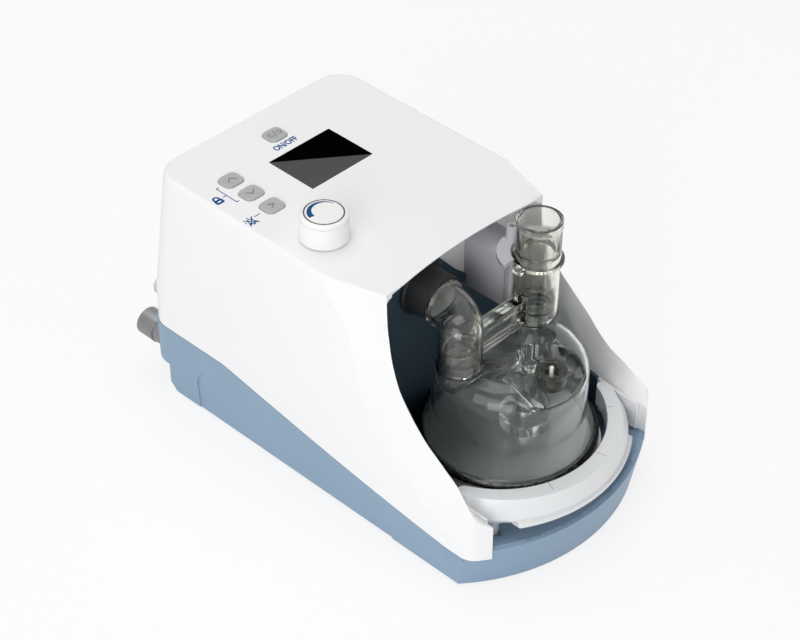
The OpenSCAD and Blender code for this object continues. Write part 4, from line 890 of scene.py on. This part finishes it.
def makeMarks():
    for name, mesh in (("lockMark", makeLockMark()), ("bellMark", makeBellMark()), ("switchWord", makeWord())):
        placed(name, mesh, "housing", slotOf("top_cover"), "printBlue")
    signs = {
        "up_key": [[(-3.4, -1.7), (0, 1.7), (3.4, -1.7)]],
        "down_key": [[(-3.4, 1.7), (0, -1.7), (3.4, 1.7)]],
        "mute_key": [[(-2.0, 2.2), (1.6, 0), (-2.0, -2.2)]],
        "power_key": [[(-1.2, -3.2), (1.2, 3.2)], arcPoints(-3.7, 0.2, 1.6, 30, 330, 20),
                      arcPoints(3.7, -0.2, 1.6, -150, 150, 20)],
    }
    lift = keys["rise"] - keyShape["dish"] + marks["signLift"]
    for body, lines in signs.items():
        x, y = keys["at"][body]
        shapes = [("line", [(x + u, y + v) for u, v in line], marks["signWide"]) for line in lines]
        mesh = markMesh(body + "Mark", shapes, lift, marks["signThick"])
        # The key signs' dark grey paints the shade of engraved lines
        placed(body.split("_")[0] + "Sign", mesh, body, slotOf(body), "keyMark")


makeMarks()
print("printed marks made")


# Rubber feet laid out by a grid
feet = {"spanX": 132, "spanY": 230, "centreY": 3, "foot": 6.6, "waist": 7.4, "seat": 7.9, "high": 1.5, "seatTop": 2.5,
        "hollow": (2.2, 2.6, 0.35)}


def feetLayout():
    tree = bpy.data.node_groups.new("feetLayout", "GeometryNodeTree")
    face = tree.interface
    face.new_socket(name="Foot", in_out="INPUT", socket_type="NodeSocketGeometry")
    for label in ("Span X", "Span Y", "Centre Y"):
        face.new_socket(name=label, in_out="INPUT", socket_type="NodeSocketFloat")
    face.new_socket(name="Rubber", in_out="INPUT", socket_type="NodeSocketMaterial")
    face.new_socket(name="Feet", in_out="OUTPUT", socket_type="NodeSocketGeometry")
    ns, ln = tree.nodes, tree.links
    start, end = ns.new("NodeGroupInput"), ns.new("NodeGroupOutput")
    grid = ns.new("GeometryNodeMeshGrid")
    grid.inputs["Vertices X"].default_value = 2
    grid.inputs["Vertices Y"].default_value = 2
    ln.new(start.outputs["Span X"], grid.inputs["Size X"])
    ln.new(start.outputs["Span Y"], grid.inputs["Size Y"])
    shift = ns.new("ShaderNodeCombineXYZ")
    ln.new(start.outputs["Centre Y"], shift.inputs["Y"])
    place = ns.new("GeometryNodeTransform")
    ln.new(grid.outputs["Mesh"], place.inputs["Geometry"])
    ln.new(shift.outputs["Vector"], place.inputs["Translation"])
    spread = ns.new("GeometryNodeInstanceOnPoints")
    ln.new(place.outputs["Geometry"], spread.inputs["Points"])
    ln.new(start.outputs["Foot"], spread.inputs["Instance"])
    real = ns.new("GeometryNodeRealizeInstances")
    ln.new(spread.outputs["Instances"], real.inputs["Geometry"])
    paint = ns.new("GeometryNodeSetMaterial")
    ln.new(real.outputs["Geometry"], paint.inputs["Geometry"])
    ln.new(start.outputs["Rubber"], paint.inputs["Material"])
    ln.new(paint.outputs["Geometry"], end.inputs["Feet"])
    return tree, {item.name: item.identifier for item in face.items_tree if item.in_out == "INPUT"}


def makeFeet():
    f = feet
    floorIn, floorOut, deep = f["hollow"]
    profile = [(0, deep), (floorIn, deep), (floorOut, 0), (f["foot"] - 0.5, 0), (f["foot"] - 0.1, 0.25),
               (f["waist"], f["high"]), (f["seat"], f["high"]), (f["seat"], f["seatTop"] - 0.3),
               (f["seat"] - 0.3, f["seatTop"]), (0, f["seatTop"])]
    obj = bpy.data.objects.new("rubberFeet", turned("oneFoot", profile, alongZ, 48))
    scene.collection.objects.link(obj)
    tree, ids = feetLayout()
    m = obj.modifiers.new("layout", "NODES")
    m.node_group = tree
    m[ids["Span X"]] = f["spanX"] * mm
    m[ids["Span Y"]] = f["spanY"] * mm
    m[ids["Centre Y"]] = f["centreY"] * mm
    m[ids["Rubber"]] = finishes["blackRubber"]
    mesh = plainMesh(obj)
    obj.modifiers.clear()
    obj.data = mesh
    softShade(mesh, 35)
    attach(obj, "housing")
    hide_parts("rubber_feet")


makeFeet()
print("feet made")


# Display glass: black, with a painted reflection as a paler grey over one corner half
glass = {"black": (3, 3, 4), "paintedReflectionGrey": (84, 84, 85), "rough": 0.12, "paintedReflectionEdgeDown": 0.3,
         "corner": 1.2, "rows": [(-1.6, 0), (-0.25, 0), (-0.07, 0.07), (0, 0.25)]}  # rows: height, inset


def displayGlass():
    made, ns, ln, skin = startMaterial("displayGlass")
    skin.inputs["Roughness"].default_value = glass["rough"]
    skin.inputs["Specular IOR Level"].default_value = 0
    where = ns.new("ShaderNodeTexCoord").outputs["Object"]
    centred = ns.new("ShaderNodeMapping")
    x, y = display["at"]
    centred.inputs["Location"].default_value = (-x * mm, -y * mm, 0)
    ln.new(where, centred.inputs["Vector"])
    split = ns.new("ShaderNodeSeparateXYZ")
    ln.new(centred.outputs["Vector"], split.inputs["Vector"])
    slope = mathNode(ns, ln, "MULTIPLY", split.outputs["X"], display["size"][1] / display["size"][0])
    height = mathNode(ns, ln, "ADD", slope, split.outputs["Y"])
    # Mask of the painted reflection: the half below the diagonal takes the paler grey
    side = mathNode(ns, ln, "LESS_THAN", height, -glass["paintedReflectionEdgeDown"] * mm)
    tone = ns.new("ShaderNodeMix")
    tone.data_type = "RGBA"
    tone.inputs["A"].default_value = fromScreen(*glass["black"])
    tone.inputs["B"].default_value = fromScreen(*glass["paintedReflectionGrey"])
    ln.new(side, tone.inputs["Factor"])
    ln.new(tone.outputs["Result"], skin.inputs["Base Color"])
    bumped(ns, ln, skin, noiseOn(ns, ln, where, 120), 0.02, 0.0002)
    return made


def makeWindow():
    w, d = display["size"][0] / 2, display["size"][1] / 2
    loops = [[onPanel(u, v, h) for u, v in roundRing(*display["at"], w - i, d - i, glass["corner"], 6)]
             for h, i in glass["rows"]]
    mesh = lofted("displayWindow", loops)
    softShade(mesh, 30)
    placed("displayWindow", mesh, "housing", slotOf("screen_window"), "displayGlass", "screen_window")


finishes["displayGlass"] = displayGlass()
makeWindow()
print("display window made")


# Finishes of the CAD shapes that stay
nodeFinish = {
    "display_module": "blackPlastic", "control_board": "boardGreen", "key_switches": "blackPlastic",
    "key_mat": "blackRubber", "valve_stem": "brightSteel", "valve_body": "turnedBrass",
    "oxygen_tube": "blackRubber", "power_supply": "sheetSteel", "main_board": "boardGreen",
    "board_screws": "brightSteel", "alarm_speaker": "blackPlastic", "chassis_tray": "sheetSteel",
    "blower_housing": "paleGrey", "blower_lid": "paleGrey", "impeller": "paleGrey", "blower_motor": "brightSteel",
    "blower_mounts": "blackRubber", "inlet_duct": "paleGrey", "air_filter": "filterFoam",
    "hinge_pin": "brightSteel", "flow_sensor": "blackPlastic", "outlet_duct": "paleGrey",
    "heater_plate": "heaterAluminium", "heater_element": "foilBrown", "heater_carrier": "paleGrey",
    "thermal_cutout": "blackPlastic", "chamber_plate": "heaterAluminium", "chamber_seal": "sealGrey",
    "chamber_float": "chamberSmoke", "fill_pin": "coverWhite", "adapter_seals": "blackRubber",
    "tube_contacts": "turnedBrass", "case_screws": "brightSteel",
}
for node, finish in nodeFinish.items():
    obj = nodes[node]
    for slot in obj.material_slots:
        slot.material = finishes[finish]
    if not obj.material_slots:
        obj.data.materials.append(finishes[finish])
print("finishes put on", len(nodeFinish), "CAD shapes")


# Floor, lights and camera
studio = {"floorHalf": 6, "floorZ": -0.0005, "floorPale": 0.95, "floorGlow": 0.8, "worldLight": 0.5,
          "aim": (0, -0.02, 0.1),
          "lamps": [("keyLamp", (-1.5, -0.3, 1.0), 1.2, 7), ("topLamp", (0.1, 0.4, 1.7), 1.4, 10.5),
                    ("fillLamp", (0.9, -1.4, 0.8), 1.6, 3.5), ("frontLamp", (-1.5, -0.9, 0.6), 1.0, 8)]}
view = {"from": (-0.7477, -0.7149, 0.9315), "at": (0, 0, 0.08797), "lens": 90, "sensor": 36, "near": 0.01}


def facing(obj, at, target):
    obj.location = at
    obj.rotation_euler = (Vector(target) - Vector(at)).to_track_quat("-Z", "Y").to_euler()
    scene.collection.objects.link(obj)


def seenRays(ns, ln):
    # 1 for camera, mirrored and see-through rays, 0 for those that only light the object
    path = ns.new("ShaderNodeLightPath").outputs
    either = mathNode(ns, ln, "MAXIMUM", path["Is Camera Ray"], path["Is Glossy Ray"])
    return mathNode(ns, ln, "MAXIMUM", either, path["Is Transmission Ray"])


def surfaceMix(ns, ln, share, first, second, end):
    mix = ns.new("ShaderNodeMixShader")
    ln.new(share, mix.inputs["Fac"])
    ln.new(first.outputs[0], mix.inputs[1])
    ln.new(second.outputs[0], mix.inputs[2])
    ln.new(mix.outputs[0], ns.new(end).inputs["Surface"])


def floorFinish():
    # Lit like a pale floor, but glowing to the eye so that it stays white
    made = bpy.data.materials.new("studioFloor")
    made.use_nodes = True
    ns, ln = made.node_tree.nodes, made.node_tree.links
    ns.clear()
    lit, glow = ns.new("ShaderNodeBsdfDiffuse"), ns.new("ShaderNodeEmission")
    lit.inputs["Color"].default_value = (studio["floorPale"],) * 3 + (1,)
    share = mathNode(ns, ln, "MULTIPLY", seenRays(ns, ln), studio["floorGlow"])
    surfaceMix(ns, ln, share, lit, glow, "ShaderNodeOutputMaterial")
    return made


def makeFloor():
    h, z = studio["floorHalf"], studio["floorZ"]
    mesh = bpy.data.meshes.new("studioFloor")
    mesh.from_pydata([(-h, -h, z), (h, -h, z), (h, h, z), (-h, h, z)], [], [(0, 1, 2, 3)])
    obj = bpy.data.objects.new("studioFloor", mesh)
    scene.collection.objects.link(obj)
    mesh.materials.append(floorFinish())


def makeLight():
    world = bpy.data.worlds.new("studioWorld")
    scene.world = world
    world.use_nodes = True
    ns, ln = world.node_tree.nodes, world.node_tree.links
    ns.clear()
    soft, white = ns.new("ShaderNodeBackground"), ns.new("ShaderNodeBackground")
    soft.inputs["Strength"].default_value = studio["worldLight"]
    white.inputs["Strength"].default_value = 1
    surfaceMix(ns, ln, seenRays(ns, ln), soft, white, "ShaderNodeOutputWorld")
    for name, at, size, power in studio["lamps"]:
        lamp = bpy.data.lights.new(name, "AREA")
        lamp.shape = "SQUARE"
        lamp.size = size
        lamp.energy = power
        facing(bpy.data.objects.new(name, lamp), at, studio["aim"])


def makeCamera():
    data = bpy.data.cameras.new("viewCamera")
    data.lens = view["lens"]
    data.sensor_width = view["sensor"]
    data.clip_start = view["near"]
    obj = bpy.data.objects.new("viewCamera", data)
    facing(obj, view["from"], view["at"])
    scene.camera = obj


makeFloor()
makeLight()
makeCamera()
scene.view_settings.view_transform = "Standard"
print("studio ready")
